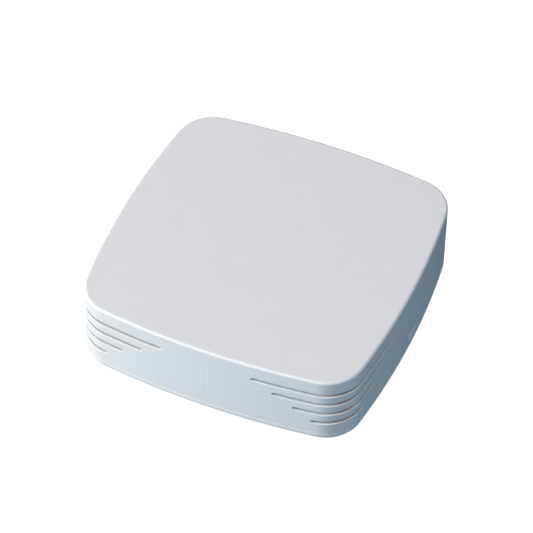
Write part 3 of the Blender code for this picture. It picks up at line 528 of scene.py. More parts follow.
def slotHeight(travel, slot, half, grow):
    # Half the height of a grown slot at each travel, and 0 outside it
    return capShare(travel, slot, half, half + grow)[2] * (half + grow)


# Sockets in the back wall
seatGap = 0.3                            # clearance round a socket, and under the cover and the board
portZone = (25.9, 27.3)                  # between these, the wall's rows leave the sockets' heights


def portOpening(node):
    # A socket's opening: travels and heights. Travel is the wall's radius times the angle whose sine is
    # x over that radius.
    low, high = corners(node)[:2]
    ends = sorted(backTravel + sideRadius * math.asin(-x / sideRadius)
                  for x in (low[0] - seatGap, high[0] + seatGap))
    return {"start": ends[0], "end": ends[1], "low": low[2] - seatGap, "high": high[2] + seatGap}


ports = [portOpening(node) for node in ("ethernet_jack_shell", "usb_shell", "power_jack_body")]
slotRows = makeSlotRows()


def wallStops():
    # The plain travels, with those of the openings put in and the plain ones too near to them left out
    plain = plainStops()
    special = [capStops(slot, row["half"]) for row in slotRows for slot in row["slots"]]
    special += [[port["start"] - rimOutside, port["end"] + rimOutside] for port in ports]
    special += [[backTravel + side * place for place in portZone for side in (-1, 1)]]
    special = np.unique(np.round(np.concatenate(special), 6))
    nearest = np.abs(plain[:, None] - special[None]).min(axis=1)
    return onceRound(np.concatenate([plain[nearest > casing["holdWidth"]], special]))


def coverRows(stops):
    # Heights of the wall's rows, top first. A slot has two rows, which run together outside its slots.
    offMiddle = np.abs(stops - backTravel)
    blend = np.clip((portZone[1] - offMiddle) / (portZone[1] - portZone[0]), 0.0, 1.0)
    rows, names = [], []

    def plainRow(name, height, inZone=None):
        names.append(name)
        rows.append(height + (0.0 if inZone is None else (inZone - height) * blend) + 0.0 * stops)

    def slotRow(number):
        row = slotRows[number]
        half = sum(slotHeight(stops, slot, row["half"], rimOutside) for slot in row["slots"])
        names.extend([f"slot{number}upper", f"slot{number}lower"])
        rows.extend([row["middle"] + half, row["middle"] - half])

    portHigh = [port["high"] + rimOutside for port in ports]
    middles = [row["middle"] for row in slotRows]
    clear = casing["slitHeight"] / 2 + rimOutside + casing["rowGap"]
    plainRow("edge", hubTop - casing["topEdge"])
    plainRow("edgeHold", hubTop - casing["topEdge"] - casing["edgeHold"])
    plainRow("shoulder", hubTop - casing["shoulder"])
    slotRow(0)
    plainRow("port0", portHigh[0])
    plainRow("port2", middles[1] + clear, portHigh[2])
    slotRow(1)
    plainRow("between1", (middles[1] + middles[2]) / 2)
    plainRow("port1", middles[2] + clear, portHigh[1])
    slotRow(2)
    plainRow("between2", (middles[2] + middles[3]) / 2)
    slotRow(3)
    plainRow("portLow", middles[3] - clear + casing["rowGap"] / 2, ports[0]["low"] - rimOutside)
    slotRow(4)
    return np.array(rows), names


def rimProfile(edge, wall, flare=0.0):
    # How far each ring of a rim stands outside its opening, and how deep in the wall it lies
    outward, inward = quarterRound(edge, 3)
    widest = edge + casing["holdWidth"]
    grow = np.concatenate([[widest], outward, [0.0, flare, widest]])
    depth = np.concatenate([[0.0], inward, [edge + 0.2, wall, wall]])
    return grow, depth


def slotRim(stops, slot, row, wall):
    # Nested slot outlines, one for each ring of the rim's profile. Each point keeps its angle round the
    # slot's end, so the outermost ring falls on the wall's own points.
    half = row["half"]
    outer = half + rimOutside
    reach = (stops > slot[0] + half - outer - 1e-6) & (stops < slot[1] - half + outer + 1e-6)
    travel = stops[reach]
    over, share, rise = capShare(travel, slot, half, outer)
    rings = []
    for grow, depth in zip(*rimProfile(casing["slitEdge"], wall, casing["slitFlare"])):
        ringTravel = travel - over + share * (half + grow)
        ringRise = rise * (half + grow)
        travels = np.concatenate([ringTravel, ringTravel[::-1]])
        heights = row["middle"] + np.concatenate([ringRise, -ringRise[::-1]])
        rings.append(wallPoints(travels, heights, depth))
    return tube(np.array(rings))


def portRim(stops, rows, port, rowSpan, wall):
    # The ring of wall points round a socket, drawn in to the opening and through the wall: each ring is
    # the same path held within a box, which is the opening grown by the rim's profile
    first, last = (int(np.argmin(np.abs(stops - edge)))
                   for edge in (port["start"] - rimOutside, port["end"] + rimOutside))
    top, bottom = rowSpan
    across = list(range(first, last + 1))
    down = list(range(top, bottom + 1))
    path = [(top, c) for c in across] + [(r, last) for r in down]
    path += [(bottom, c) for c in reversed(across)] + [(r, first) for r in reversed(down)]
    rowIndex, columnIndex = np.array(path).T
    travel, height = stops[columnIndex], rows[rowIndex, columnIndex]
    rings = []
    for grow, depth in zip(*rimProfile(casing["slitEdge"], wall)):
        ringTravel = np.clip(travel, port["start"] - grow, port["end"] + grow)
        ringHeight = np.clip(height, port["low"] - grow, port["high"] + grow)
        rings.append(wallPoints(ringTravel, ringHeight, depth))
    return tube(np.array(rings)), (first, last)


def makeCover():
    # One grid goes from the middle of the top out, down the wall, in under it, up its inside and to the
    # middle of the roof. Faces are left out at the openings, where the rims join the two sides.
    wall, topEdge = casing["wall"], casing["topEdge"]
    stops = wallStops()
    rows, names = coverRows(stops)
    seam = coverLow[2] - (seatGap - casing["seamGap"])
    innerRoof = hubTop - casing["roof"]

    # Outside: the flat top shrinks to a pole, then the rounded edge, the wall and the seam's small edge
    shrink = np.array([0.0, 0.15, 0.3, 0.45, 0.6, 0.74, 0.85, 0.93, 0.975, 0.993, 1.0])
    rimX, rimY = wallPlace(stops, topEdge)
    top = np.stack([shrink[:, None] * rimX, shrink[:, None] * rimY,
                    np.full((len(shrink), len(stops)), hubTop)], axis=-1)
    edge = np.array([wallPoints(stops, hubTop - topEdge * (1 - math.cos(a)), topEdge * (1 - math.sin(a)))
                     for a in np.linspace(0, np.pi / 2, 7)[1:-1]])
    outside = np.array([wallPoints(stops, row, 0.0) for row in rows])
    seamPart = np.array(seamRows(stops, seam, casing["seamEdge"], 1, wall))

    # Inside: the same rows again, so that every opening has matching edges on both faces
    insideRows = rows[::-1][:-2]
    inside = np.array([wallPoints(stops, row, wall) for row in insideRows])

    # Roof: from the wall to the round window over the light pipe, then across the window's own roof
    innerX, innerY = wallPlace(stops, wall)
    windowY = corners("light_pipe")[0][1] + casing["pipeRadius"]
    angle = np.arctan2(innerY - windowY, innerX)
    ringX = casing["windowRadius"] * np.cos(angle)
    ringY = windowY + casing["windowRadius"] * np.sin(angle)
    roof = [np.stack([innerX + (ringX - innerX) * share, innerY + (ringY - innerY) * share,
                      np.full(len(stops), innerRoof)], axis=-1)
            for share in (0.0, 0.02, 0.15, 0.35, 0.6, 0.85, 1.0)]
    roof += [np.stack([ringX * share, windowY + (ringY - windowY) * share,
                       np.full(len(stops), innerRoof + casing["windowDepth"])], axis=-1)
             for share in (1.0, 0.0)]
    points = np.concatenate([top, edge, outside, seamPart, inside, np.array(roof)])

    keep = np.ones((points.shape[0] - 1, len(stops)), bool)
    outsideStart = len(top) + len(edge)
    insideStart = outsideStart + len(rows) + len(seamPart)

    def clearRows(upper, lower, columns=slice(None)):
        # Leaves out the faces between two of the wall's rows, outside and inside
        keep[outsideStart + upper:outsideStart + lower, columns] = False
        mirroredStart = insideStart + len(rows) - 1 - lower
        keep[mirroredStart:insideStart + len(rows) - 1 - upper, columns] = False

    grids = []
    for number, row in enumerate(slotRows):
        upper = names.index(f"slot{number}upper")
        clearRows(upper, upper + 1)
        grids += [slotRim(stops, slot, row, wall) for slot in row["slots"]]
    for number, port in enumerate(ports):
        span = (names.index(f"port{number}"), names.index("portLow"))
        rim, (first, last) = portRim(stops, rows, port, span, wall)
        clearRows(span[0], span[1], slice(first, last))
        grids.append(rim)
    grids.insert(0, tube(points, keep))
    # Screw bosses: posts down from the roof, with a pilot hole up the middle
    grids += [hollowPost((sx * bossPlace, sy * bossPlace), casing["bossRadius"], casing["pilotRadius"],
                         innerRoof + casing["bossRoot"], casing["bossFoot"], casing["pilotTop"], postEdge)
              for sx, sy in cornerSigns]
    showGrids("coverShell", grids, "casing_plastic", "top_cover")


makeCover()
print("cover made")


# Base: the same outline as the cover, with a rounded seam edge and a lip that locates the cover

base = {
    "bottomEdge": 0.4, "seamRise": 4.2, "seamEdge": 0.38, "taper": 0.06,
    "lipGap": 0.3, "lipFoot": 3.6, "lipTop": 5.6, "lipBevel": 0.3,
    "lipDip": 4.4, "dipReach": 9.5, "dipRamp": 2.0,            # the lip is lower by the button's stem
    "bossRadius": 3.8, "bossTop": 6.0, "screwHole": 1.3, "headWell": 2.6, "wellDepth": 2.3,
    "postRoot": 0.3, "boardThickness": 1.6, "standoffRadius": 3.0, "standoffInset": (8.0, 15.0),
    "footInset": 9.0, "footWell": 5.8, "footWellDepth": 0.8,
    "plateSize": (42.6, 24.6), "plateCorner": 1.2, "plateY": 20.0, "plateWellDepth": 0.8,
    "vents": 9, "ventPitch": 5.0, "ventSize": (2.0, 20.0), "ventY": -20.0,
    "mouthEdge": 0.25,
}


def pocketCutter(outlineAt, depth, edge):
    # A pocket cut up into the base. Its mouth flares outwards in a quarter round of the given edge.
    outward, inward = quarterRound(edge, 4)
    rings = [(outlineAt(edge), bodyBottom - 1.0)]
    rings += [(outlineAt(grow), bodyBottom + rise) for grow, rise in zip(outward, inward)]
    return stacked(rings + [(outlineAt(0.0), bodyBottom + depth)])


def cutOut(mesh, cutters):
    # Takes the cutters out of a closed mesh with an exact boolean, and keeps only the result
    scene = bpy.context.scene.collection
    body = bpy.data.objects.new("uncut", mesh)
    tool = bpy.data.objects.new("cutters", newMesh("cutters", cutters))
    scene.objects.link(body)
    scene.objects.link(tool)
    cut = body.modifiers.new("cut", "BOOLEAN")
    cut.operation, cut.solver, cut.object = "DIFFERENCE", "EXACT", tool
    cut.use_self = True
    result = bpy.data.meshes.new_from_object(body.evaluated_get(bpy.context.evaluated_depsgraph_get()))
    for helper in (body, tool):
        bpy.data.objects.remove(helper)
    return result


def makeBase():
    # One grid goes from the middle of the underside out, up the wall, in over the seam, over the lip and
    # down to the floor. Pockets are cut out of it, and posts are added on the floor.
    stops = onceRound(plainStops())
    seam, edge = base["seamRise"], base["bottomEdge"]
    lipInset = casing["wall"] + base["lipGap"]
    lipInside = lipInset + casing["lipWidth"]
    fromButton = np.abs(stops - buttonTravel - button["middle"])
    dip = np.clip((base["dipReach"] - fromButton) / base["dipRamp"], 0.0, 1.0)
    lipTop = base["lipTop"] + (base["lipDip"] - base["lipTop"]) * dip
    rows = [wallPoints(stops, bodyBottom + rise, base["taper"] + inset)
            for inset, rise in zip(*quarterRound(edge, 4))]
    rows += seamRows(stops, seam, base["seamEdge"], -1, lipInset)
    rows += [wallPoints(stops, height, inset) for inset, height in (
        (lipInset, lipTop - base["lipBevel"]), (lipInset + base["lipBevel"], lipTop),
        (lipInside, lipTop), (lipInside, base["lipFoot"]))]
    floor = bodyBottom + casing["floor"]
    under = [rows[0] * (share, share, 1.0) for share in (0.3, 0.6, 0.85, 0.97)]
    inside = [rows[-1] * (share, share, 1.0) for share in (0.97, 0.85, 0.6, 0.3)]
    shell = withPoles(np.array(under + rows + inside))
    mouthEdge, hole = base["mouthEdge"], base["screwHole"]
    (ventWidth, ventLength), (plateWidth, plateDepth) = base["ventSize"], base["plateSize"]
    cutters = [pocketCutter(lambda grow: pillOutline(ventLength + 2 * grow, ventWidth + 2 * grow)[:, ::-1]
                            + (x, base["ventY"]), casing["floor"] + 1.0, mouthEdge)
               for x in rowPlaces(base["vents"], base["ventPitch"])]
    cutters.append(pocketCutter(lambda grow: roundedBox(plateWidth + 2 * grow, plateDepth + 2 * grow,
                                                        base["plateCorner"] + grow)
                                + (0.0, base["plateY"]), base["plateWellDepth"], mouthEdge))
    footPlace = bossPlace - base["footInset"]
    standoffX, standoffY = (bossPlace - inset for inset in base["standoffInset"])
    root, standoffTop = floor - base["postRoot"], boardTop - base["boardThickness"] - seatGap
    posts = []
    for sx, sy in cornerSigns:
        foot, screw = (sx * footPlace, sy * footPlace), (sx * bossPlace, sy * bossPlace)
        cutters.append(pocketCutter(lambda grow: circleOutline(base["footWell"] + grow, foot),
                                    base["footWellDepth"], mouthEdge))
        cutters.append(pocketCutter(lambda grow: circleOutline(base["headWell"] + grow, screw),
                                    base["wellDepth"], mouthEdge))
        posts.append(hollowPost(screw, base["bossRadius"], hole, root, base["bossTop"], floor + 0.2, 0.1))
        posts.append(hollowPost((sx * standoffX, sy * standoffY), base["standoffRadius"], hole, root,
                                standoffTop, floor + 1.0, 0.0))
    mesh = cutOut(newMesh("basePan", [shell]), cutters)
    work = bmesh.new()
    work.from_mesh(mesh)
    work.from_mesh(newMesh("basePosts", posts))
    work.to_mesh(mesh)
    work.free()
    mesh.shade_smooth()
    mesh.set_sharp_from_angle(angle=math.radians(35.0))
    piece = showPiece("basePan", mesh, "casing_plastic", ("base_plate",))
    piece.modifiers.new("flatFaces", "WEIGHTED_NORMAL").keep_sharp = True


makeBase()
print("base made")


# Feet and label

rubberFoot = {"radius": 5.5, "edge": 0.5, "height": 2.1,
              "grooveRadius": 3.6, "grooveWidth": 0.5, "grooveDepth": 0.2}
plate = {"corner": 1.0, "edge": 0.12}


def makeFeet():
    # A moulded disc with a rounded rim. The ring in its tread is as deep as the cosine squared across it.
    edge, rim, height = rubberFoot["edge"], rubberFoot["radius"], rubberFoot["height"]
    groove = [(rubberFoot["grooveRadius"] + rubberFoot["grooveWidth"] * share,
               rubberFoot["grooveDepth"] * math.cos(share * math.pi) ** 2)
              for share in np.linspace(-0.5, 0.5, 9)]
    profile = [(0.0, 0.0)] + groove
    profile += [(rim - inset, rise) for inset, rise in zip(*quarterRound(edge, 5))]
    profile += [(rim, height - postEdge), (rim - postEdge, height), (0.0, height)]
    place = bossPlace - base["footInset"]
    for number, (sx, sy) in enumerate(cornerSigns, 1):
        disc = turned(profile, (sx * place, sy * place), 64)
        showGrids(f"rubberFoot{number}", [disc], "foot_rubber", f"rubber_foot_{number}")


def makePlate():
    # A flat label with rounded edges: its outline, drawn in by a quarter round at the bottom and the top
    low, high, middle, size = corners("rating_plate")
    insets, rises = quarterRound(plate["edge"], 3)
    levels = list(zip(insets, low[2] + rises)) + list(zip(insets[::-1], high[2] - rises[::-1]))
    rings = [(roundedBox(size[0] - 2 * inset, size[1] - 2 * inset, plate["corner"] - inset) + middle[:2], z)
             for inset, z in levels]
    showGrids("ratingPlate", [stacked(rings)], "plate_film", "rating_plate")


makeFeet()
makePlate()
print("feet and label made")


# Screws: a domed pan head with a cross recess, and a shank with a helical thread

screws = {
    "crossReach": 0.62, "crossWidth": 0.17, "crossDepth": 0.55,     # shares of the head's radius and height
    "crossEndSlope": 0.30, "crossSideSlope": 0.07,
    "threadPitch": 0.9, "threadDepth": 0.22, "shankRadius": 1.0, "taper": 1.6,
    "coverHeadHeight": 1.6, "boardHeadShare": 0.62,                 # a board screw's head, by its radius
}


def screwGrids(headRadius, headHeight, length):
    # Head: a disc grid whose height is a dome, minus a cross with sloping walls.
    # Shank: radius falls by the thread's depth as height / pitch - angle / turn leaves a whole number.
    angles = np.linspace(0.0, 2 * np.pi, 96, endpoint=False)
    radii = headRadius * np.concatenate([np.linspace(0.0, 0.7, 22), np.linspace(0.75, 1.0, 8)])
    x, y = radii[:, None] * np.cos(angles), radii[:, None] * np.sin(angles)
    share = radii[:, None] / headRadius
    dome = headHeight * np.sqrt(np.clip(1 - 0.55 * share ** 4, 0.0, 1.0))
    narrow = np.minimum(np.abs(x), np.abs(y)) / headRadius
    wide = np.maximum(np.abs(x), np.abs(y)) / headRadius
    slopeIn = np.clip((screws["crossWidth"] - narrow) / screws["crossSideSlope"], 0.0, 1.0)
    slopeEnd = np.clip((screws["crossReach"] - wide) / screws["crossEndSlope"], 0.0, 1.0)
    z = dome - screws["crossDepth"] * headHeight * slopeIn * slopeEnd
    head = np.stack([x, y, z], axis=-1)
    rim = np.stack([head[-1] * (1.0, 1.0, height) for height in (0.6, 0.25, 0.05, 0.0)])
    heights = np.linspace(0.0, -length, int(length / 0.11))
    turn = (heights[:, None] / screws["threadPitch"] - angles[None, ::3] / (2 * np.pi)) % 1.0
    crest = 1 - np.abs(2 * turn - 1)
    fade = np.clip((heights[:, None] + length) / screws["taper"], 0.3, 1.0) * np.ones_like(turn)
    radius = (screws["shankRadius"] - screws["threadDepth"] * (1 - crest)) * fade
    radius[0] = screws["shankRadius"] * 0.8
    shank = np.stack([radius * np.cos(angles[::3]), radius * np.sin(angles[::3]),
                      heights[:, None] * np.ones_like(radius)], axis=-1)
    return [withPoles(np.concatenate([head, rim, rim[-1:] * (0.3, 0.3, 0.0)])), withPoles(shank)]


def makeScrews():
    # Cover screws go up from below, so they are turned over. Board screws go down.
    for kind, upright in (("cover_screw", -1.0), ("board_screw", 1.0)):
        for number in range(1, 5):
            node = f"{kind}_{number}"
            low, high, middle, size = corners(node)
            radius = size[0] / 2
            tall = screws["coverHeadHeight"] if upright < 0 else radius * screws["boardHeadShare"]
            seat = low[2] + tall if upright < 0 else high[2] - tall
            grids = [(points * (1.0, upright, upright) + (middle[0], middle[1], seat), faces)
                     for points, faces in screwGrids(radius, tall, size[2] - tall)]
            showGrids(kind.replace("_s", "S") + str(number), grids, "screw_steel", node, sharpAngle=40.0)


makeScrews()
print("screws made")


# Side button: a pill-shaped cap that stands a little proud, with a flange and a stem behind it

cap = {"edge": 0.3, "crown": 0.06, "gap": 0.3, "flangeThickness": 1.0, "stem": (3.6, 1.6)}


def makeButton():
    # Pill outlines stacked along X: a face crowned as the square of its size, a rounded edge, then the
    # cap's side, the flange and the stem
    low, high, middle, size = corners("side_button")
    face, edge = high[0], cap["edge"]
    length, height = button["length"] - 2 * cap["gap"], button["height"] - 2 * cap["gap"]
    flangeX = wallPlace(buttonTravel + middle[1] + size[1] / 2, casing["wall"])[0] - seatGap
    stations = [(pillOutline(length * share - 2 * edge, (height - 2 * edge) * share),
                 face - cap["crown"] * share ** 2 / 2) for share in (0.3, 0.6, 0.8)]
    stations += [(pillOutline(length - 2 * inset, height - 2 * inset), face - cap["crown"] - drop)
                 for inset, drop in zip(*quarterRound(edge, 4))]
    stations += [(pillOutline(*outline), x) for outline, x in (
        ((length, height), flangeX), (size[1:], flangeX), (size[1:], flangeX - cap["flangeThickness"]),
        (cap["stem"], flangeX - cap["flangeThickness"]), (cap["stem"], low[0]))]
    rings = [(ring + middle[1:], x) for ring, x in stations]
    showGrids("sideButton", [stacked(rings, 0)], "casing_plastic", "side_button", sharpAngle=40.0,
              body="button_body")


makeButton()
print("button made")


# Sockets. Their rings lie across Y and open towards +Y.

sockets = {
    "jackWall": 0.5, "jackCorner": 0.5, "sheetEdge": 0.15, "leastCorner": 0.08, "lampCorner": 0.25,
    "plugCavity": (11.8, 7.6), "cavityRise": 3.0, "cavityDepth": 12.5, "latch": (6.0, 1.8),
    "wires": 8, "wirePitch": 1.02, "wireRadius": 0.2, "wireEnd": 0.3, "wireSpan": 0.9,
    "usbWall": 0.4, "usbCorner": 0.7,
    "tonguePads": 4, "padPitch": 2.5, "padWidth": 1.1, "padHeight": 0.3, "padDrop": 0.02,
    "boreRadius": 3.2, "boreDepth": 11.0, "boreRise": 6.2, "pinRadius": 1.0, "pinTip": 0.6,
}


def frontOutline(size, middle, corner, inset):
    # A part as seen along Y: a round-cornered outline, drawn in by the inset
    return roundedBox(size[0] - 2 * inset, size[2] - 2 * inset, corner) + middle[[0, 2]]


def sheetShell(node, wall, corner):
    # A drawn sheet box, open towards +Y: outlines along its outside, over the rounded front edge and back
    # along its inside
    low, high, middle, size = corners(node)
    edge = sockets["sheetEdge"]

    def ring(inset):
        return frontOutline(size, middle, max(corner - inset, sockets["leastCorner"]), inset)

    front = high[1]
    return stacked([(ring(0.0), low[1]), (ring(0.0), front - edge), (ring(edge * 0.3), front - edge * 0.3),
                    (ring(edge), front), (ring(wall - edge), front),
                    (ring(wall - edge * 0.3), front - edge * 0.3), (ring(wall), front - edge),
                    (ring(wall), low[1] + wall)], 1)


def rays(outline, middle, angles):
    # Where rays from the middle meet a closed outline of straight pieces
    start = outline - middle
    step = np.roll(outline, -1, axis=0) - outline
    direction = np.stack([np.cos(angles), np.sin(angles)], axis=1)
    cross = direction[:, None, 0] * step[None, :, 1] - direction[:, None, 1] * step[None, :, 0]
    cross = np.where(np.abs(cross) < 1e-9, 1e-9, cross)
    distance = (start[None, :, 0] * step[None, :, 1] - start[None, :, 1] * step[None, :, 0]) / cross
    along = (start[None, :, 0] * direction[:, None, 1] - start[None, :, 1] * direction[:, None, 0]) / cross
    good = (along > -1e-6) & (along < 1 + 1e-6) & (distance > 0)
    reach = np.where(good, distance, np.inf).min(axis=1)
    return middle + direction * reach[:, None]


def rayAngles(points):
    # The angles of these points, so that no corner is missed, and 48 even ones
    even = np.linspace(-np.pi, np.pi, 49)[1:]
    return np.unique(np.round(np.concatenate([np.arctan2(points[:, 1], points[:, 0]), even]), 6))


def makeJack():
    # The insert is a block with a plug's cavity: rays from inside the cavity give both outlines the same
    # number of points, and the rings go along the block, over its front and back into the cavity
    low, high, middle, size = corners("ethernet_jack_insert")
    floor = low[2] + sockets["cavityRise"]
    width, height = sockets["plugCavity"]
    latchWidth, latchDrop = sockets["latch"]
    left, right = middle[0] - width / 2, middle[0] + width / 2
    latchLeft, latchRight = middle[0] - latchWidth / 2, middle[0] + latchWidth / 2
    cavity = np.array([(right, floor), (right, floor + height), (left, floor + height), (left, floor),
                       (latchLeft, floor), (latchLeft, floor - latchDrop), (latchRight, floor - latchDrop),
                       (latchRight, floor)])
    block = roundedBox(size[0], size[2], 0.3, 3) + middle[[0, 2]]
    centre = np.array([middle[0], floor + 2.0])
    angles = rayAngles(np.concatenate([cavity, block]) - centre)
    outer, inner = rays(block, centre, angles), rays(cavity, centre, angles)
    towards = (centre - inner) / np.linalg.norm(centre - inner, axis=1)[:, None]
    front, back = high[1], high[1] - sockets["cavityDepth"]
    shrink = 0.15 * (middle[[0, 2]] - outer) / 8
    insert = stacked([(outer, low[1]), (outer, front - 0.2), (outer + shrink, front),
                      (inner - towards * 0.35, front), (inner - towards * 0.1, front - 0.1),
                      (inner, front - 0.35), (inner, back)], 1)
    showGrids("jackInsert", [insert], "black_plastic", "ethernet_jack_insert", sharpAngle=30.0)
    shell = sheetShell("ethernet_jack_shell", sockets["jackWall"], sockets["jackCorner"])
    showGrids("jackShell", [shell], "shield_metal", "ethernet_jack_shell", sharpAngle=30.0)
    makeWires(middle[0])
    for node, name, finish in (("ethernet_link_lamp", "linkLamp", "lamp_green"),
                               ("ethernet_data_lamp", "dataLamp", "lamp_amber")):
        low, high, middle, size = corners(node)
        front = high[1]
        rings = [(frontOutline(size, middle, sockets["lampCorner"] - inset, inset), y)
                 for inset, y in ((0.0, low[1]), (0.0, front - 0.2), (0.06, front - 0.05), (0.2, front))]
        showGrids(name, [stacked(rings, 1)], finish, node, sharpAngle=60.0)


def makeWires(middle):
    # Circles carried along a curve and turned to stand square to it. From the front to the back the curve
    # dips a little and then rises to the cavity's roof, as a sine to a power.
    high, size = corners("ethernet_contacts")[1::2]
    radius, end, span = sockets["wireRadius"], sockets["wireEnd"], sockets["wireSpan"]
    share = np.linspace(0.0, 1.0, 15)
    y = high[1] - end - share * (size[1] - span)
    z = high[2] - end - (size[2] - span) * np.sin((1 - share) * np.pi * 0.62) ** 1.4
    slope = np.gradient(z, y)
    normalY, normalZ = -slope / np.hypot(1, slope), 1 / np.hypot(1, slope)
    angles = np.linspace(0.0, 2 * np.pi, 8, endpoint=False)
    across, off = radius * np.cos(angles), radius * np.sin(angles)
    wires = [withPoles(np.stack(np.broadcast_arrays(x + across, y[:, None] + off * normalY[:, None],
                                                    z[:, None] + off * normalZ[:, None]), axis=-1))
             for x in middle + rowPlaces(sockets["wires"], sockets["wirePitch"])]
    showGrids("jackWires", wires, "contact_gold", "ethernet_contacts", sharpAngle=60.0)


def makeUsb():
    # A sheet box, a tongue that narrows at its front, and flat pads let into the tongue's underside
    shell = sheetShell("usb_shell", sockets["usbWall"], sockets["usbCorner"])
    showGrids("usbShell", [shell], "shield_metal", "usb_shell", sharpAngle=30.0)
    low, high, middle, size = corners("usb_tongue")
    rings = [(frontOutline(size, middle, 0.3, inset), y)
             for inset, y in ((0.0, low[1]), (0.0, high[1] - 0.5), (0.12, high[1] - 0.15), (0.35, high[1]))]
    showGrids("usbTongue", [stacked(rings, 1)], "black_plastic", "usb_tongue", sharpAngle=30.0)
    width, height, drop = sockets["padWidth"], sockets["padHeight"], sockets["padDrop"]
    pads = [stacked([(roundedBox(width - 2 * inset, height - 2 * inset, 0.05) + (x, low[2] - drop), y)
                     for inset, y in ((0.0, low[1] + 0.5), (0.0, high[1] - 0.9), (0.05, high[1] - 0.7))], 1)
            for x in middle[0] + rowPlaces(sockets["tonguePads"], sockets["padPitch"])]
    showGrids("usbPads", pads, "contact_gold", sharpAngle=30.0)


def makePowerJack():
    # A block with a round bore, made as the jack's insert is, and a pin with a domed tip: its rings
    # shrink as the cosine while they go forwards as the sine
    low, high, middle, size = corners("power_jack_body")
    axis = np.array([middle[0], low[2] + sockets["boreRise"]])
    block = roundedBox(size[0], size[2], 0.6, 5) + middle[[0, 2]]
    angles = rayAngles(block - axis)
    outer = rays(block, axis, angles)
    circle = np.stack([np.cos(angles), np.sin(angles)], axis=1)
    bore, front = sockets["boreRadius"], high[1]
    inward = 0.2 * (axis - outer) / np.linalg.norm(axis - outer, axis=1)[:, None]
    rings = [(outer, low[1]), (outer, front - 0.2), (outer + inward * 0.3, front - 0.06),
             (outer + inward, front)]
    rings += [(axis + circle * (bore + grow), front - depth)
              for grow, depth in ((0.4, 0.0), (0.1, 0.12), (0.0, 0.4), (0.0, sockets["boreDepth"]))]
    showGrids("powerJack", [stacked(rings, 1)], "black_plastic", "power_jack_body", sharpAngle=30.0)
    low, high, middle, size = corners("power_jack_pin")
    pin, tip, pinAxis = sockets["pinRadius"], sockets["pinTip"], middle[[0, 2]]
    rings = [(pinAxis + circle * pin, low[1]), (pinAxis + circle * pin, high[1] - tip)]
    rings += [(pinAxis + circle * pin * math.cos(a), high[1] - tip + tip * math.sin(a))
              for a in np.linspace(0.2, 1.35, 6)]
    showGrids("powerPin", [stacked(rings, 1)], "shield_metal", "power_jack_pin", sharpAngle=60.0)


makeJack()
makeUsb()
makePowerJack()
print("sockets made")


# The other CAD parts keep their shape and get a fine bevel and a real finish

fineBevel = {"widest": 0.12, "share": 0.12, "sharpAngle": 40.0}      # share of the part's least size

insideParts = {
    "circuit_board": ("main_board",),
    "chip_epoxy": ("processor", "memory_chip", "flash_chip", "wifi_radio", "zigbee_radio", "zwave_radio",
                   "ethernet_transformer"),
    "thermal_pad": ("thermal_pad",),
    "heatsink_aluminium": ("heatsink",),
    "shield_metal": ("clock_crystal", "wifi_shield", "zigbee_shield", "zwave_shield", "wifi_antenna",
                     "zigbee_antenna", "zwave_antenna"),
    "capacitor_sleeve": ("input_capacitor", "output_capacitor"),
    "ferrite": ("power_inductor",),
    "clear_acrylic": ("status_led", "light_pipe"),
    "black_plastic": ("button_switch", "switch_plunger"),
}


def finishInside():
    for finish, nodes in insideParts.items():
        for node in nodes:
            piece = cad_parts[node]
            for slot in piece.material_slots:
                slot.material = finishes[finish]
            thinnest = corners(node)[3].min()
            bevel = piece.modifiers.new("edge", "BEVEL")
            bevel.width = min(fineBevel["widest"], thinnest * fineBevel["share"]) * millimetre
            bevel.segments, bevel.limit_method = 2, "ANGLE"
            bevel.angle_limit = math.radians(fineBevel["sharpAngle"])


finishInside()
print("inside parts finished")


# Studio: a pale floor and soft lights. The floor sends no light back to the hub, as if it were a white
# sweep far below, so that the shaded side stays shaded.

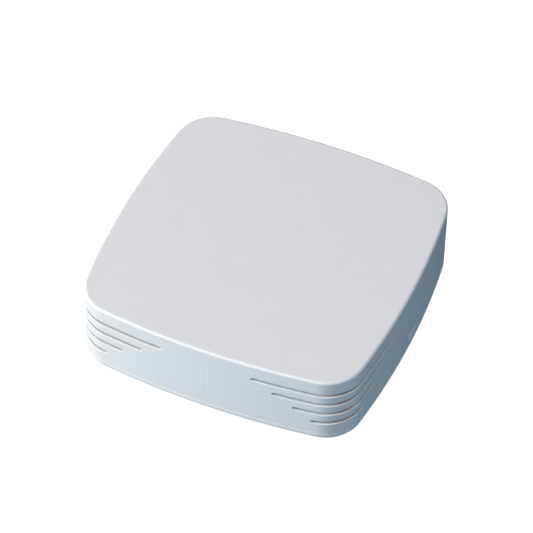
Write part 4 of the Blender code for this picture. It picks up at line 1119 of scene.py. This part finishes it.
studio = {
    "floorSize": 6.0,
    "floorGlow": 0.97,
    # name: degrees from -Y towards -X, elevation, distance and size in metres, watts, colour
    "lights": {
        "lowSoftbox": (60.0, 8.0, 2.2, 0.8, 38.0, (0.954, 1.0, 0.974)),
        "keySoftbox": (51.0, 28.0, 2.2, 0.9, 27.0, (0.845, 0.909, 1.0)),
        "frontSoftbox": (0.0, 60.0, 2.2, 1.0, 13.7, (1.0, 0.863, 0.701)),
        "backSoftbox": (150.0, 60.0, 2.2, 1.2, 11.2, (0.784, 0.879, 1.0)),
        "rightBounce": (-60.0, 10.0, 2.2, 1.0, 17.3, (0.415, 0.759, 1.0)),
        "rightSoftbox": (-90.0, 60.0, 2.2, 0.8, 6.4, (1.0, 0.835, 0.784)),
    },
    "ambient": (0.002, 0.002, 0.002),
}


def makeFloor():
    # A matt paper sweep, whiter than the casing: fine fibre grain, no gloss
    half = studio["floorSize"] / 2
    mesh = bpy.data.meshes.new("paperSweep")
    mesh.from_pydata([(half * sx, half * sy, 0) for sx, sy in cornerSigns], [], [(0, 1, 2, 3)])
    floor = bpy.data.objects.new("paperSweep", mesh)
    bpy.context.scene.collection.objects.link(floor)
    material, tree, shader, place = startMaterial("mattPaper", {
        "Roughness": 1.0, "Specular IOR Level": 0.0, "Emission Strength": studio["floorGlow"],
        "Emission Color": linearColour("ffffff")})
    fibre = addNode(tree, "ShaderNodeTexNoise", {"Scale": perMetre(1.5), "Detail": 4.0}, {"Vector": place})
    tone = addNode(tree, "ShaderNodeMapRange", {"To Min": 0.88, "To Max": 0.92},
                   {"Value": fibre.outputs["Fac"]})
    tree.links.new(tone.outputs["Result"], shader.inputs["Base Color"])
    mesh.materials.append(material)
    floor.visible_diffuse = floor.visible_glossy = False


def makeLights():
    centre = Vector((0.0, 0.0, hubTop / 2 * millimetre))
    for name, (turn, elevation, distance, size, watts, colour) in studio["lights"].items():
        data = bpy.data.lights.new(name, "AREA")
        data.shape, data.size = "DISK", size
        data.energy, data.color = watts, colour
        lamp = bpy.data.objects.new(name, data)
        turn, elevation = math.radians(turn), math.radians(elevation)
        towards = Vector((-math.sin(turn) * math.cos(elevation), -math.cos(turn) * math.cos(elevation),
                          math.sin(elevation)))
        lamp.location = centre + towards * distance
        lamp.rotation_euler = towards.to_track_quat("Z", "Y").to_euler()
        bpy.context.scene.collection.objects.link(lamp)
    world = bpy.data.worlds.new("studioAir")
    world.use_nodes = True
    world.node_tree.nodes["Background"].inputs["Color"].default_value = (*studio["ambient"], 1.0)
    bpy.context.scene.world = world
    bpy.context.scene.view_settings.view_transform = "Standard"


makeFloor()
makeLights()
print("studio made")
